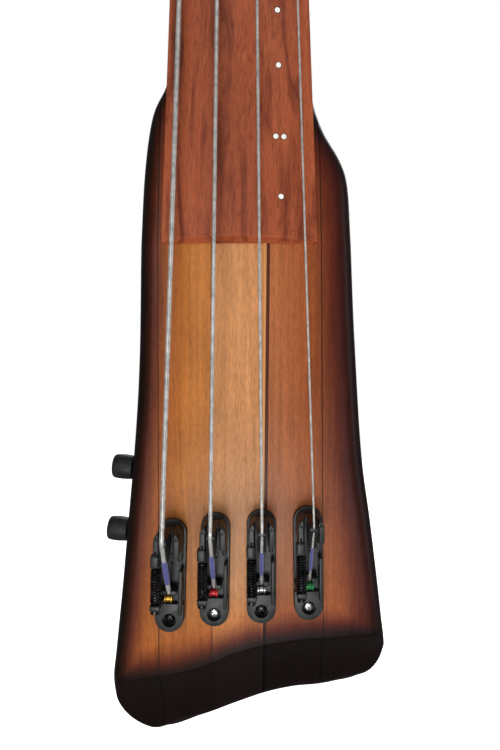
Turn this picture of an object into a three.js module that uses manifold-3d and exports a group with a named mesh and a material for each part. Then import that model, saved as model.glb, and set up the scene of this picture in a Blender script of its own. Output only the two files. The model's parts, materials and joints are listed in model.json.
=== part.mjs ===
// Electric upright bass: a slim solid-body double bass with a neck-through core, four single-string
// bridges, a fretless fingerboard and a back plate for its stand. Millimetres, +Z up.
// X runs to the treble side, the front faces -Y, and the origin is the middle of the stand plate.
import * as THREE from "three";
import { mergeVertices } from "three/addons/utils/BufferGeometryUtils.js";
import Module from "manifold-3d";

const wasm = await Module();
wasm.setup();

// ---------- driving dimensions ----------
const GAP = 0.3; // between touching pieces
const CUT = 5; // how far a cutter runs past what it cuts

// Body
const BODY_THICKNESS = 42;
const BODY_EDGE_ROUND = 10;
const PLATE_PROUD = 1.5; // the stand plate stands this far out of the back
const BOARD_END_Z = 50; // where the fingerboard ends, above the stand plate's middle
const CORE_HALF_WIDTH = 48; // at the fingerboard's end
const CORE_FLARE = 0.019; // how much each side of the core opens per mm towards the tail
const SCOOP_DEPTH = 18; // how deep the sloping band at the tail is cut
const SCOOP_HOLLOW = 2.2; // how far the band is hollowed

// Neck and fingerboard
const NECK_TILT = THREE.MathUtils.degToRad(6.06); // the neck leans back from the body's face
const BOARD_LENGTH = 707;
const BOARD_END_WIDTH = 90.8;
const NUT_WIDTH = 39;
const BOARD_THICKNESS = 7.1; // on the centre line
const BOARD_RADIUS = 305;
const BOARD_END_BOW = 2; // the board's end is a shallow arc
const NECK_DEPTH_HEEL = 30;
const NECK_DEPTH_LOW = 24.5;
const NECK_DEPTH_NUT = 21;
const NUT_LENGTH = 5;
const NUT_HEIGHT = 10;
const TRUSS_ROD_WIDTH = 6;
const TRUSS_ROD_DEPTH = 9;
const TRUSS_ROD_LENGTH = 560;

// Headstock and tuners
const HEAD_LENGTH = 150;
const HEAD_HALF_WIDTH = 33;
const HEAD_THICKNESS = 16;
const HEAD_TILT = THREE.MathUtils.degToRad(9);
const TUNER_PLATE = { width: 25, length: 40, thickness: 2.2 };
const POST_RADIUS = 4.6;
const POST_HEIGHT = 22; // above the headstock's face
const POST_CLEARANCE = 0.3;
const GEAR_RADIUS = 8;
const WORM_RADIUS = 2.6;
const WORM_OFFSET = 11.2; // from the post's axis to the worm's
const BUTTON_REACH = 30; // from the post's axis to the button

// Strings, E A D G: radius, then where each crosses the saddle
const STRINGS = [
  { name: "e", radius: 1.35, x: -43.2, z: -168.4, height: 36.9 },
  { name: "a", radius: 1.1, x: -15.7, z: -167.3, height: 38.6 },
  { name: "d", radius: 0.85, x: 12.9, z: -165.7, height: 38.6 },
  { name: "g", radius: 0.6, x: 41.9, z: -165.7, height: 36.9 },
];
const NUT_SPAN = 30.6; // from the first string to the last at the nut
const NUT_CLEARANCE = 1.9; // from the board's top to a string's middle at the nut
const WINDING_TURNS = 2.5;
const WINDING_STEPS = 10; // in each turn
const WINDING_HEIGHT = 12; // where it starts, above the headstock's face

// Bridges: where each base sits, from the fingerboard's end, and how it leans with its string
const BRIDGES = [
  { x: -43.3, z: -200.2, lean: 2.4 },
  { x: -15.9, z: -196.4, lean: 1.2 },
  { x: 12.9, z: -194.4, lean: 0 },
  { x: 41.9, z: -192.2, lean: -1 },
];
const BASE_WIDTH = 18.2;
const BASE_LENGTH = 71.5;
const BASE_THICKNESS = 4;
const CARRIAGE_WIDTH = 15.1;
const CARRIAGE_LENGTH = 15;
const CARRIAGE_TOP = 23.7; // above the body's face
const CARRIAGE_Z = 26.5; // its middle, from the base's middle
const CHANNEL_WIDTH = 7;
const CHANNEL_FLOOR = 9;
const CREST_HALF_WIDTH = 2.5;
const SADDLE_Z = 31.6;
const SADDLE_THICKNESS = 5;
const SADDLE_TAIL_SHARE = 0.66; // where the tail ends on the string's way up from the ball
const SADDLE_TAIL_DEPTH = 4;
const SADDLE_TRAVEL = 3; // how far the saddle can be lowered
const SCREW_X = -5.9; // the intonation screw, from the base's centre line
const SCREW_HEIGHT = 22;
const SCREW_RADIUS = 1.5;
const SCREW_CLEARANCE = 0.3;
const BOSS_LENGTH = 7;
const LUG_Z = -10.5; // the upright lug that holds the screw's end
const LUG_THICKNESS = 3;
const DECK_FRONT = -17; // the raised tail end of the base
const DECK_HEIGHT = 7.5;
const SCREW_WELL = 4.4;
const SPRING_WALL = 1.3;
const ANCHOR_Z = -9;
const ANCHOR_THICKNESS = 3;
const BALL_RADIUS = 2.6;
const BALL_LENGTH = 5;
const BALL_HEIGHT = 10.5;
const TWIST_GAP = 1; // from the ball to the string's plain end
const BASE_SCREW_Z = -27.9;
const BASE_SCREW_HEAD_RADIUS = 3.4;
const BASE_SCREW_RADIUS = 2;
const BASE_SCREW_LENGTH = 22;

// Controls and electronics
const KNOB_RADIUS = 8.2;
const KNOB_LENGTH = 12.9;
const KNOB_STANDOFF = 2; // between the body's side and the knob
const KNOB_TILT = THREE.MathUtils.degToRad(5); // the knobs stand square to the flaring side
const KNOB_Z = [-137, -178.8]; // from the fingerboard's end
const KNOB_SIDE_X = [-69, -73.6]; // the body's side at each knob
const POT_RADIUS = 8.5;
const POT_DEPTH = 10;
const POT_BUSHING_RADIUS = 3.6;
const SHAFT_RADIUS = 3;
const SHAFT_CLEARANCE = 0.2;
const CAVITY = { left: -61, right: -8, bottom: -201, top: -112, depth: 32 };
const COVER_LEDGE = 7;
const COVER_THICKNESS = 2.4;
const JACK = { x: 34, z: -236, radius: 7, bore: 3.3, flange: 11, length: 30 };
const STAND_PLATE = { width: 60, length: 96, thickness: 4, holeRadius: 3.2, holePitch: 64 };
const STAND_BOLT_DEPTH = 16; // room in the wood for the stand's bolts

const BACK_Y = -PLATE_PROUD;
const FACE_Y = BACK_Y - BODY_THICKNESS;
const MID_Y = (BACK_Y + FACE_Y) / 2;

// ---------- materials ----------
const finish = (color, roughness, metalness = 0) =>
  new THREE.MeshStandardMaterial({ color, roughness, metalness });
const coreWood = finish(0x9a5a24, 0.35);
const wingWood = finish(0x4a1c0e, 0.35);
const boardWood = finish(0x6e2f1c, 0.5);
const blackMetal = finish(0x151516, 0.4, 0.7);
const steel = finish(0xb9b9b6, 0.3, 1);
const brass = finish(0xc49a3c, 0.35, 1);
const blackPlastic = finish(0x121212, 0.55);
const bone = finish(0x1c1b1a, 0.5);
const boardGreen = finish(0x1d4a2b, 0.6);

// ---------- solids ----------
const solid = (geometry) => {
  const bare = new THREE.BufferGeometry();
  const source = geometry.index ? geometry.toNonIndexed() : geometry;
  bare.setAttribute("position", source.getAttribute("position"));
  const merged = mergeVertices(bare, 1e-4);
  return new wasm.Manifold(
    new wasm.Mesh({
      numProp: 3,
      vertProperties: new Float32Array(merged.attributes.position.array),
      triVerts: new Uint32Array(merged.index.array),
    }),
  );
};

const geometryOf = (manifold) => {
  const mesh = manifold.getMesh();
  const geometry = new THREE.BufferGeometry();
  const positions = new Float32Array(mesh.numVert * 3);
  for (let i = 0; i < mesh.numVert; i++)
    for (let k = 0; k < 3; k++) positions[i * 3 + k] = mesh.vertProperties[i * mesh.numProp + k];
  geometry.setAttribute("position", new THREE.BufferAttribute(positions, 3));
  geometry.setIndex(new THREE.BufferAttribute(new Uint32Array(mesh.triVerts), 1));
  geometry.computeVertexNormals();
  return geometry;
};

const part = new THREE.Group();
const add = (name, shape, material, parent = part) => {
  const mesh = new THREE.Mesh(shape.isBufferGeometry ? shape : geometryOf(shape), material);
  mesh.name = name;
  parent.add(mesh);
  return mesh;
};

const box = (x0, x1, y0, y1, z0, z1) =>
  solid(
    new THREE.BoxGeometry(x1 - x0, y1 - y0, z1 - z0).translate(
      (x0 + x1) / 2,
      (y0 + y1) / 2,
      (z0 + z1) / 2,
    ),
  );

// A cylinder along X, Y or Z from one station on that axis to another.
const rod = (axis, radius, from, to, at, sides = 20) => {
  const geometry = new THREE.CylinderGeometry(radius, radius, Math.abs(to - from), sides);
  if (axis === "x") geometry.rotateZ(Math.PI / 2);
  if (axis === "z") geometry.rotateX(Math.PI / 2);
  const middle = (from + to) / 2;
  const place = { x: [middle, ...at], y: [at[0], middle, at[1]], z: [...at, middle] }[axis];
  return solid(geometry.translate(...place));
};

// A turned piece: profile points are radius, then station along the chosen axis.
const turned = (profile, axis, at, sides = 20) => {
  const points = profile.map(([radius, station]) => new THREE.Vector2(radius, station));
  const geometry = new THREE.LatheGeometry(points, sides);
  if (axis === "x") geometry.rotateZ(-Math.PI / 2);
  if (axis === "z") geometry.rotateX(Math.PI / 2);
  return solid(geometry.translate(...at));
};

// An outline in the XZ plane, given thickness from the front station back to the rear one.
const plate = (shape, front, back, bevel = 0, segments = 3) => {
  const geometry = new THREE.ExtrudeGeometry(shape, {
    depth: back - front - 2 * bevel,
    bevelEnabled: bevel > 0,
    bevelSize: bevel,
    bevelThickness: bevel,
    bevelOffset: -bevel,
    bevelSegments: segments,
    curveSegments: 10,
  });
  geometry.rotateX(Math.PI / 2);
  return solid(geometry.translate(0, back - bevel, 0));
};

// A closed skin over matching rings of points, with a fan over each end.
const loft = (rings) => {
  const count = rings[0].length;
  const ends = [rings[0], rings[rings.length - 1]].map((ring) =>
    ring.reduce((sum, p) => sum.add(p), new THREE.Vector3()).divideScalar(count),
  );
  const points = [...rings.flat(), ...ends];
  const index = [];
  for (let i = 0; i + 1 < rings.length; i++)
    for (let j = 0; j < count; j++) {
      const a = i * count + j;
      const b = i * count + ((j + 1) % count);
      index.push(a, b, b + count, a, b + count, a + count);
    }
  const last = (rings.length - 1) * count;
  const [first, end] = [rings.length * count, rings.length * count + 1];
  for (let j = 0; j < count; j++) {
    index.push(first, (j + 1) % count, j);
    index.push(end, last + j, last + ((j + 1) % count));
  }
  const geometry = new THREE.BufferGeometry().setFromPoints(points);
  geometry.setIndex(index);
  return solid(geometry);
};

const v3 = (x, y, z) => new THREE.Vector3(x, y, z);

// Places a solid made in the neck's frame into the body's: the neck's frame has its origin on the
// face at the fingerboard's end, with +Z up the neck and -Y out of the fingerboard.
const neckMatrix = new THREE.Matrix4()
  .makeTranslation(0, FACE_Y, BOARD_END_Z)
  .multiply(new THREE.Matrix4().makeRotationX(-NECK_TILT));
const inBody = (manifold) => manifold.transform(neckMatrix.elements);
const neck = new THREE.Group();
neckMatrix.decompose(neck.position, neck.quaternion, neck.scale);
part.add(neck);

// ---------- body: core and two wings ----------
// The outline as X and the height over the fingerboard's end, from the bass shoulder round the tail.
const OUTLINE = [
  [-41, 114], [-44.6, 96], [-52.7, 78], [-57.4, 46], [-59.8, 0], [-62.3, -63], [-66.1, -112],
  [-72.2, -167], [-77.5, -214], [-82.7, -256], [-84.8, -278], [-79.5, -303], [-67, -317],
  [-52, -320.5], [-34.5, -315], [-10, -304], [14, -296], [34, -291], [60, -288], [80, -283],
  [91.3, -271], [94, -254], [91.4, -232], [88.1, -207], [82.6, -168], [75.9, -123], [70.2, -52],
  [67.1, 0], [65.1, 35], [60.6, 51], [51.3, 67], [46, 80], [43, 93], [41, 114],
];
const outlineCurve = new THREE.SplineCurve(OUTLINE.map(([x, z]) => new THREE.Vector2(x, z)));
const outline = new THREE.Shape(
  outlineCurve.getPoints(2 * OUTLINE.length).map((p) => p.setY(p.y + BOARD_END_Z)),
);
const slab = plate(outline, FACE_Y, BACK_Y, BODY_EDGE_ROUND);

// Above the fingerboard's end the face leans back with the neck.
const SKIRT_TOP = -60;
const SKIRT = 150;
const leaningOutline = new THREE.Shape([
  ...outlineCurve
    .getPoints(2 * OUTLINE.length)
    .filter((p) => p.x < 0 && p.y > SKIRT_TOP),
  new THREE.Vector2(-SKIRT, SKIRT_TOP - 20),
  new THREE.Vector2(-SKIRT, -3 * SKIRT),
  new THREE.Vector2(SKIRT, -3 * SKIRT),
  new THREE.Vector2(SKIRT, SKIRT_TOP - 20),
  ...outlineCurve
    .getPoints(2 * OUTLINE.length)
    .filter((p) => p.x > 0 && p.y > SKIRT_TOP),
]);
const leaning = inBody(plate(leaningOutline, 0, 3 * BODY_THICKNESS, BODY_EDGE_ROUND));

// The sloping band at the tail: X, then the height of its upper and lower edges.
const SCOOP = [
  [-110, -282, -336], [-66, -272, -321], [-44, -269, -313], [-23, -263, -306.5], [-4, -254.5, -299],
  [16, -249, -291.6], [36, -245.7, -287], [60, -243.8, -284], [110, -240, -270],
];
const scoop = loft(
  SCOOP.map(([x, upper, lower]) => {
    const at = (depth, z) => v3(x, FACE_Y + depth, z + BOARD_END_Z);
    const between = (share) => upper + (lower - upper) * share;
    return [
      at(-CUT, lower - 8 * CUT),
      at(-CUT, upper + 0.1),
      at(0, upper),
      at(SCOOP_DEPTH / 3 + SCOOP_HOLLOW, between(1 / 3)),
      at((2 * SCOOP_DEPTH) / 3 + SCOOP_HOLLOW, between(2 / 3)),
      at(SCOOP_DEPTH, lower),
      at(SCOOP_DEPTH + 4, lower - CUT),
      at(SCOOP_DEPTH + 4, lower - 8 * CUT),
    ].reverse();
  }),
);
const wholeBody = slab.intersect(leaning).subtract(scoop);

// Half-widths at a height over the fingerboard's end.
const boardHalfWidth = (z) =>
  BOARD_END_WIDTH / 2 - ((BOARD_END_WIDTH - NUT_WIDTH) / 2) * (z / BOARD_LENGTH);
const coreHalfWidth = (z) => CORE_HALF_WIDTH - CORE_FLARE * z;
const coreOutline = (spread) => {
  const heights = [-340, 130];
  const side = heights.map((z) => [coreHalfWidth(z) + spread, z + BOARD_END_Z]);
  return new THREE.Shape([
    ...side.map(([x, z]) => new THREE.Vector2(x, z)),
    ...side.reverse().map(([x, z]) => new THREE.Vector2(-x, z)),
  ]);
};
const coreRegion = plate(coreOutline(0), FACE_Y - CUT, BACK_Y + CUT);
const wingCutter = plate(coreOutline(GAP), FACE_Y - CUT, BACK_Y + CUT);

// ---------- neck and headstock, one with the core ----------
const NECK_RING = 12;
const neckRing = (z, depth) =>
  Array.from({ length: NECK_RING + 1 }, (_, i) => {
    const angle = (Math.PI * i) / NECK_RING;
    const width = boardHalfWidth(z) * Math.cos(angle);
    return v3(width, depth * Math.sin(angle) ** 0.75, z);
  });
const neckSolid = loft([
  neckRing(70, NECK_DEPTH_HEEL),
  neckRing(112, NECK_DEPTH_HEEL),
  neckRing(170, NECK_DEPTH_LOW),
  neckRing(400, (NECK_DEPTH_LOW + NECK_DEPTH_NUT) / 2),
  neckRing(BOARD_LENGTH + NUT_LENGTH, NECK_DEPTH_NUT),
]);

// The headstock has a frame of its own at the nut, leaning back from the neck.
const headMatrix = new THREE.Matrix4()
  .makeTranslation(0, 0, BOARD_LENGTH + NUT_LENGTH)
  .multiply(new THREE.Matrix4().makeRotationX(-HEAD_TILT));
const inNeck = (manifold) => manifold.transform(headMatrix.elements);
const head = new THREE.Group();
headMatrix.decompose(head.position, head.quaternion, head.scale);
neck.add(head);

const headSide = [
  [NUT_WIDTH / 2, -4], [NUT_WIDTH / 2 + 1, 8], [HEAD_HALF_WIDTH, 34],
  [HEAD_HALF_WIDTH - 2, HEAD_LENGTH - 16], [HEAD_HALF_WIDTH - 12, HEAD_LENGTH],
];
const headOutline = new THREE.Shape([
  ...headSide.map(([x, z]) => new THREE.Vector2(x, z)),
  ...[...headSide].reverse().map(([x, z]) => new THREE.Vector2(-x, z)),
]);
const headPlate = inNeck(plate(headOutline, 0.5, 0.5 + HEAD_THICKNESS, 1.5, 1));

// ---------- tuners ----------
// Two a side: which string, which side, and the height up the headstock.
const TUNERS = [
  { string: 0, side: -1, z: 54 },
  { string: 1, side: -1, z: 108 },
  { string: 2, side: 1, z: 108 },
  { string: 3, side: 1, z: 54 },
];
const POST_X = 17;
const headBack = 0.5 + HEAD_THICKNESS;
const WORM_Y = headBack + TUNER_PLATE.thickness + 5;
const postHoles = TUNERS.map(({ side, z }) =>
  rod("y", POST_RADIUS + 2 * POST_CLEARANCE, -CUT, headBack + CUT, [side * POST_X, z]),
);

const tunerHousing = ({ side, z }) => {
  const x = side * POST_X;
  const { width, length, thickness } = TUNER_PLATE;
  const [y0, y1] = [headBack + GAP, headBack + GAP + thickness];
  const wormZ = z - WORM_OFFSET;
  const ear = (from, to) => box(from, to, y0, WORM_Y + 4, wormZ - 4, wormZ + 4);
  const ears = [ear(x - 12, x - 9), ear(x + 9, x + 12)];
  const wormWay = rod("x", WORM_RADIUS + POST_CLEARANCE, x - 20, x + 20, [WORM_Y, wormZ]);
  const postWay = rod("y", POST_RADIUS + POST_CLEARANCE, y0 - 1, y1 + 1, [x, z]);
  return box(x - width / 2, x + width / 2, y0, y1, z - length / 2, z + length / 2)
    .add(ears[0])
    .add(ears[1])
    .subtract(wormWay)
    .subtract(postWay);
};
const tunerPost = ({ side, z }) => {
  const gearY = headBack + GAP + TUNER_PLATE.thickness + GAP;
  const profile = [
    [0, -POST_HEIGHT], [POST_RADIUS, -POST_HEIGHT], [POST_RADIUS, gearY],
    [GEAR_RADIUS, gearY], [GEAR_RADIUS, gearY + 5], [0, gearY + 5],
  ];
  return turned(profile, "y", [side * POST_X, 0, z]);
};
// The worm's shaft with its button: an oval paddle.
const tunerButton = ({ side, z }) => {
  const x = side * POST_X;
  const wormZ = z - WORM_OFFSET;
  const end = x + side * BUTTON_REACH;
  const shaft = rod("x", WORM_RADIUS, x - side * 13, end, [WORM_Y, wormZ], 16);
  const paddle = new THREE.SphereGeometry(1, 16, 10).scale(12, 4.5, 10);
  return shaft.add(solid(paddle.translate(end + side * 8, WORM_Y, wormZ)));
};

for (const tuner of TUNERS) {
  const name = STRINGS[tuner.string].name;
  add(`tuner_housing_${name}`, tunerHousing(tuner), blackMetal, head);
  add(`tuner_post_${name}`, tunerPost(tuner), blackMetal, head);
  add(`tuner_button_${name}`, tunerButton(tuner), blackMetal, head);
}

// ---------- truss rod, nut and fingerboard ----------
const ROD_BOTTOM = 128;
const rodTop = ROD_BOTTOM + TRUSS_ROD_LENGTH;
const rodHalf = TRUSS_ROD_WIDTH / 2;
const trussRod = box(-rodHalf, rodHalf, 1, 1 + TRUSS_ROD_DEPTH, ROD_BOTTOM, rodTop);
const rodSlot = box(
  -rodHalf - GAP, rodHalf + GAP, -CUT, 1 + TRUSS_ROD_DEPTH + GAP, ROD_BOTTOM - GAP, rodTop + GAP,
);
add("truss_rod", trussRod, steel, neck);

// The board's section: flat below, and part of a large circle above.
const edgeThickness = (halfWidth) =>
  BOARD_THICKNESS - (BOARD_RADIUS - Math.sqrt(BOARD_RADIUS ** 2 - halfWidth ** 2));
const BOARD_STEPS = 10;
const boardRing = (z, bow) => {
  const half = boardHalfWidth(z);
  const top = Array.from({ length: BOARD_STEPS + 1 }, (_, i) => {
    const x = half * (1 - (2 * i) / BOARD_STEPS);
    return v3(x, -edgeThickness(Math.abs(x)), z + bow * (1 - (x / half) ** 2));
  });
  return [v3(half, -GAP, z), ...top, v3(-half, -GAP, z)];
};
const board = loft([
  boardRing(0, BOARD_END_BOW),
  boardRing(BOARD_LENGTH / 3, 0),
  boardRing((2 * BOARD_LENGTH) / 3, 0),
  boardRing(BOARD_LENGTH - GAP, 0),
].map((ring) => ring.reverse()));
add("fingerboard", board, boardWood, neck);

// Where a string is at a height up the neck: a straight line from its saddle to the nut.
const saddlePoint = (string) => v3(string.x, 0, string.z);
const nutX = (i) => NUT_SPAN * (i / (STRINGS.length - 1) - 0.5);
const nutPoint = (i) => {
  const x = nutX(i);
  return v3(x, -edgeThickness(Math.abs(x)) - NUT_CLEARANCE, BOARD_LENGTH + NUT_LENGTH / 2);
};
const nutHalf = NUT_WIDTH / 2;
let nut = box(-nutHalf, nutHalf, -NUT_HEIGHT, -GAP, BOARD_LENGTH, BOARD_LENGTH + NUT_LENGTH);
STRINGS.forEach((string, i) => {
  const p = nutPoint(i);
  const slot = string.radius + 2 * GAP;
  nut = nut.subtract(
    rod("z", slot, BOARD_LENGTH - CUT, BOARD_LENGTH + NUT_LENGTH + CUT, [p.x, p.y], 12),
  );
  nut = nut.subtract(
    box(p.x - slot, p.x + slot, -NUT_HEIGHT - CUT, p.y,
      BOARD_LENGTH - CUT, BOARD_LENGTH + NUT_LENGTH + CUT),
  );
});
add("nut", nut, bone, neck);

const coverOutline = new THREE.Shape([
  new THREE.Vector2(-8, 8), new THREE.Vector2(8, 8), new THREE.Vector2(6, 36),
  new THREE.Vector2(0, 42), new THREE.Vector2(-6, 36),
]);
add("truss_rod_cover", plate(coverOutline, -1.8, 0.5 - GAP), blackPlastic, head);

// ---------- the strings' routes ----------
// A route whose sections fall exactly on its own points.
class Route extends THREE.Curve {
  constructor(points) {
    super();
    this.points = points;
  }
  getPoint(t, target = new THREE.Vector3()) {
    const last = this.points.length - 1;
    const station = Math.min(Math.max(t, 0), 1) * last;
    const i = Math.min(Math.floor(station), last - 1);
    return target.lerpVectors(this.points[i], this.points[i + 1], station - i);
  }
  getPointAt(u, target) {
    return this.getPoint(u, target);
  }
  getTangentAt(u, target = new THREE.Vector3()) {
    const last = this.points.length - 1;
    const i = Math.round(u * last);
    const before = this.points[Math.max(i - 1, 0)];
    const after = this.points[Math.min(i + 1, last)];
    const here = this.points[i];
    const into = here.clone().sub(before).normalize();
    const out = after.clone().sub(here).normalize();
    return target.copy(into.add(out)).normalize();
  }
  getSpacedPoints(divisions) {
    return Array.from({ length: divisions + 1 }, (_, i) => this.getPoint(i / divisions));
  }
}
const STRING_SIDES = 8;
const tube = (points, radius) => {
  const section = new THREE.Shape();
  for (let i = 0; i < STRING_SIDES; i++) {
    const angle = (2 * Math.PI * i) / STRING_SIDES;
    const [x, y] = [radius * Math.cos(angle), radius * Math.sin(angle)];
    if (i === 0) section.moveTo(x, y);
    else section.lineTo(x, y);
  }
  section.closePath();
  return new THREE.ExtrudeGeometry(section, {
    steps: points.length - 1,
    bevelEnabled: false,
    extrudePath: new Route(points),
  });
};


// A string at its bridge, in the bridge's own frame: from its end by the ball, up over the crest.
const ballZ = ANCHOR_Z - GAP - BALL_RADIUS;
const stringAtBridge = (string) => {
  const start = v3(0, -BALL_HEIGHT, ballZ + BALL_RADIUS + TWIST_GAP);
  const crest = v3(0, -string.height, SADDLE_Z);
  const onward = v3(0, -string.height + Math.sin(NECK_TILT) * CUT, SADDLE_Z + CUT);
  return [start, crest, onward];
};

// ---------- bridges ----------
const pill = (width, length) => {
  const shape = new THREE.Shape();
  const half = length / 2 - width / 2;
  shape.absarc(0, half, width / 2, 0, Math.PI, false);
  shape.absarc(0, -half, width / 2, Math.PI, 2 * Math.PI, false);
  return shape;
};

// In a bridge's own frame +Z points up its string, and a height over the face is -Y.
const deck = BASE_THICKNESS + GAP;
const bridgeBase = () => {
  const half = BASE_WIDTH / 2;
  const up = (x0, x1, h0, h1, z0, z1) => box(x0, x1, -h1, -h0, z0, z1);
  const foot = BASE_THICKNESS - 1;
  const lug = up(
    -half + 0.4, SCREW_X + 3.2, foot, SCREW_HEIGHT + 3.2, LUG_Z - LUG_THICKNESS, LUG_Z,
  );
  const anchor = up(-5, 5, foot, BALL_HEIGHT + 3, ANCHOR_Z, ANCHOR_Z + ANCHOR_THICKNESS);
  const anchorSlot = up(
    -2, 2, BALL_HEIGHT - 2, BALL_HEIGHT + CUT, ANCHOR_Z - 1, ANCHOR_Z + ANCHOR_THICKNESS + 1,
  );
  const rail = up(half - 3.2, half - 1, foot, 12.3, -22, 6);
  const screwWay = rod(
    "z", SCREW_RADIUS + SCREW_CLEARANCE, LUG_Z - 2 * CUT, LUG_Z + CUT, [SCREW_X, -SCREW_HEIGHT], 16,
  );
  const fixing = rod(
    "y", BASE_SCREW_RADIUS + GAP, -BASE_THICKNESS - CUT, CUT, [0, BASE_SCREW_Z], 16,
  );
  const raised = plate(pill(BASE_WIDTH, BASE_LENGTH), -DECK_HEIGHT, -GAP)
    .intersect(up(-BASE_WIDTH, BASE_WIDTH, 0, DECK_HEIGHT + CUT, -BASE_LENGTH, DECK_FRONT))
    .subtract(rod("y", SCREW_WELL, -DECK_HEIGHT - CUT, -BASE_THICKNESS, [0, BASE_SCREW_Z], 20));
  return plate(pill(BASE_WIDTH, BASE_LENGTH), -BASE_THICKNESS, -GAP)
    .add(raised)
    .add(lug)
    .add(anchor.subtract(anchorSlot))
    .add(rail)
    .subtract(screwWay)
    .subtract(fixing);
};

const carriageBack = CARRIAGE_Z - CARRIAGE_LENGTH / 2;
const bridgeCarriage = () => {
  const half = CARRIAGE_WIDTH / 2;
  const front = CARRIAGE_Z + CARRIAGE_LENGTH / 2;
  const channel = CHANNEL_WIDTH / 2;
  const block = box(-half, half, -CARRIAGE_TOP, -deck, carriageBack, front);
  const slot = box(
    -channel, channel, -CARRIAGE_TOP - CUT, -CHANNEL_FLOOR, carriageBack - CUT, front + CUT,
  );
  const boss = box(
    SCREW_X - 3, SCREW_X + 2.2, -SCREW_HEIGHT - 3, -SCREW_HEIGHT + 3,
    carriageBack - BOSS_LENGTH, carriageBack + 1,
  );
  const screwWay = rod(
    "z", SCREW_RADIUS + SCREW_CLEARANCE, carriageBack - 2 * CUT, carriageBack + 2 * CUT,
    [SCREW_X, -SCREW_HEIGHT], 16,
  );
  return block.subtract(slot).add(boss).subtract(screwWay);
};

// The saddle stands in the carriage's channel: a foot, and on it a thin blade whose crest carries
// the string and whose tail runs down behind the crest, under the string.
const bridgeSaddle = (string) => {
  const half = CHANNEL_WIDTH / 2 - GAP;
  const foot = CHANNEL_FLOOR + GAP + SADDLE_TRAVEL;
  const front = SADDLE_Z + SADDLE_THICKNESS / 2;
  const back = SADDLE_Z - SADDLE_THICKNESS / 2;
  const shoulder = CARRIAGE_TOP - SADDLE_TRAVEL;
  const block = box(-half, half, -shoulder, -foot, back, front);
  const [start, crest] = stringAtBridge(string);
  const under = start.clone().lerp(crest, SADDLE_TAIL_SHARE);
  const sides = [-CREST_HALF_WIDTH, CREST_HALF_WIDTH].map((x) => [
    v3(x, 1 - shoulder, front), v3(x, -string.height, front - 1), v3(x, -string.height, back + 1),
    v3(x, under.y, under.z), v3(x, under.y + SADDLE_TAIL_DEPTH, under.z), v3(x, 1 - shoulder, back),
  ]);
  const groove = tube(stringAtBridge(string), string.radius + GAP);
  return block.add(loft(sides)).subtract(solid(groove));
};

const springFront = carriageBack - BOSS_LENGTH - GAP;
const springBack = LUG_Z + GAP;
const bridgeSpring = () => {
  const inner = SCREW_RADIUS + SCREW_CLEARANCE;
  const outer = inner + SPRING_WALL;
  const profile = [
    [inner, springBack], [outer, springBack], [outer, springFront], [inner, springFront],
    [inner, springBack],
  ];
  return turned(profile, "z", [SCREW_X, -SCREW_HEIGHT, 0], 14);
};
const bridgeScrew = () => {
  const headFront = LUG_Z - LUG_THICKNESS - GAP;
  const profile = [
    [0, headFront - 2.4], [2.6, headFront - 2.4], [2.6, headFront], [SCREW_RADIUS, headFront],
    [SCREW_RADIUS, carriageBack + 2], [0, carriageBack + 2],
  ];
  return turned(profile, "z", [SCREW_X, -SCREW_HEIGHT, 0], 14);
};
const baseScrew = () => {
  const seat = BASE_THICKNESS + GAP;
  const profile = [
    [0, -seat - 2], [BASE_SCREW_HEAD_RADIUS - 1, -seat - 2], [BASE_SCREW_HEAD_RADIUS, -seat],
    [BASE_SCREW_RADIUS, -seat], [BASE_SCREW_RADIUS, BASE_SCREW_LENGTH - seat],
    [0, BASE_SCREW_LENGTH - seat],
  ];
  return turned(profile, "y", [0, 0, BASE_SCREW_Z], 16);
};
// The ball lies across the anchor's slot, held against its tail side by the string's pull.
const ballEnd = () =>
  rod("x", BALL_RADIUS, -BALL_LENGTH / 2, BALL_LENGTH / 2, [-BALL_HEIGHT, ballZ], 14);

const bridgeMatrix = ({ x, z, lean }) =>
  new THREE.Matrix4()
    .makeTranslation(x, FACE_Y, BOARD_END_Z + z)
    .multiply(new THREE.Matrix4().makeRotationY(THREE.MathUtils.degToRad(lean)));

BRIDGES.forEach((place, i) => {
  const string = STRINGS[i];
  const bridge = new THREE.Group();
  bridgeMatrix(place).decompose(bridge.position, bridge.quaternion, bridge.scale);
  part.add(bridge);
  add(`bridge_base_${string.name}`, bridgeBase(), blackMetal, bridge);
  add(`bridge_carriage_${string.name}`, bridgeCarriage(), blackMetal, bridge);
  add(`bridge_saddle_${string.name}`, bridgeSaddle(string), blackPlastic, bridge);
  add(`intonation_screw_${string.name}`, bridgeScrew(), blackMetal, bridge);
  add(`intonation_spring_${string.name}`, bridgeSpring(), blackMetal, bridge);
  add(`bridge_fixing_screw_${string.name}`, baseScrew(), steel, bridge);
  add(`ball_end_${string.name}`, ballEnd(), brass, bridge);
});

// ---------- strings ----------
STRINGS.forEach((string, i) => {
  const [start, crest] = stringAtBridge(string).map((p) => p.applyMatrix4(bridgeMatrix(BRIDGES[i])));
  // On to the nut, over it, and round the tuner's post in a descending winding.
  const nutAt = nutPoint(i).applyMatrix4(neckMatrix);
  const tuner = TUNERS.find((t) => t.string === i);
  const reach = POST_RADIUS + GAP + string.radius;
  const winding = Array.from({ length: WINDING_TURNS * WINDING_STEPS + 1 }, (_, k) => {
    const angle = (2 * Math.PI * k) / WINDING_STEPS;
    const drop = (k / WINDING_STEPS) * (2 * string.radius + GAP);
    return v3(
      tuner.side * (POST_X - reach * Math.cos(angle)),
      drop - WINDING_HEIGHT,
      tuner.z + reach * Math.sin(angle),
    ).applyMatrix4(headMatrix).applyMatrix4(neckMatrix);
  });
  const points = [start, crest, nutAt, ...winding];
  add(`string_${string.name}`, tube(points, string.radius), steel);
});

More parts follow.
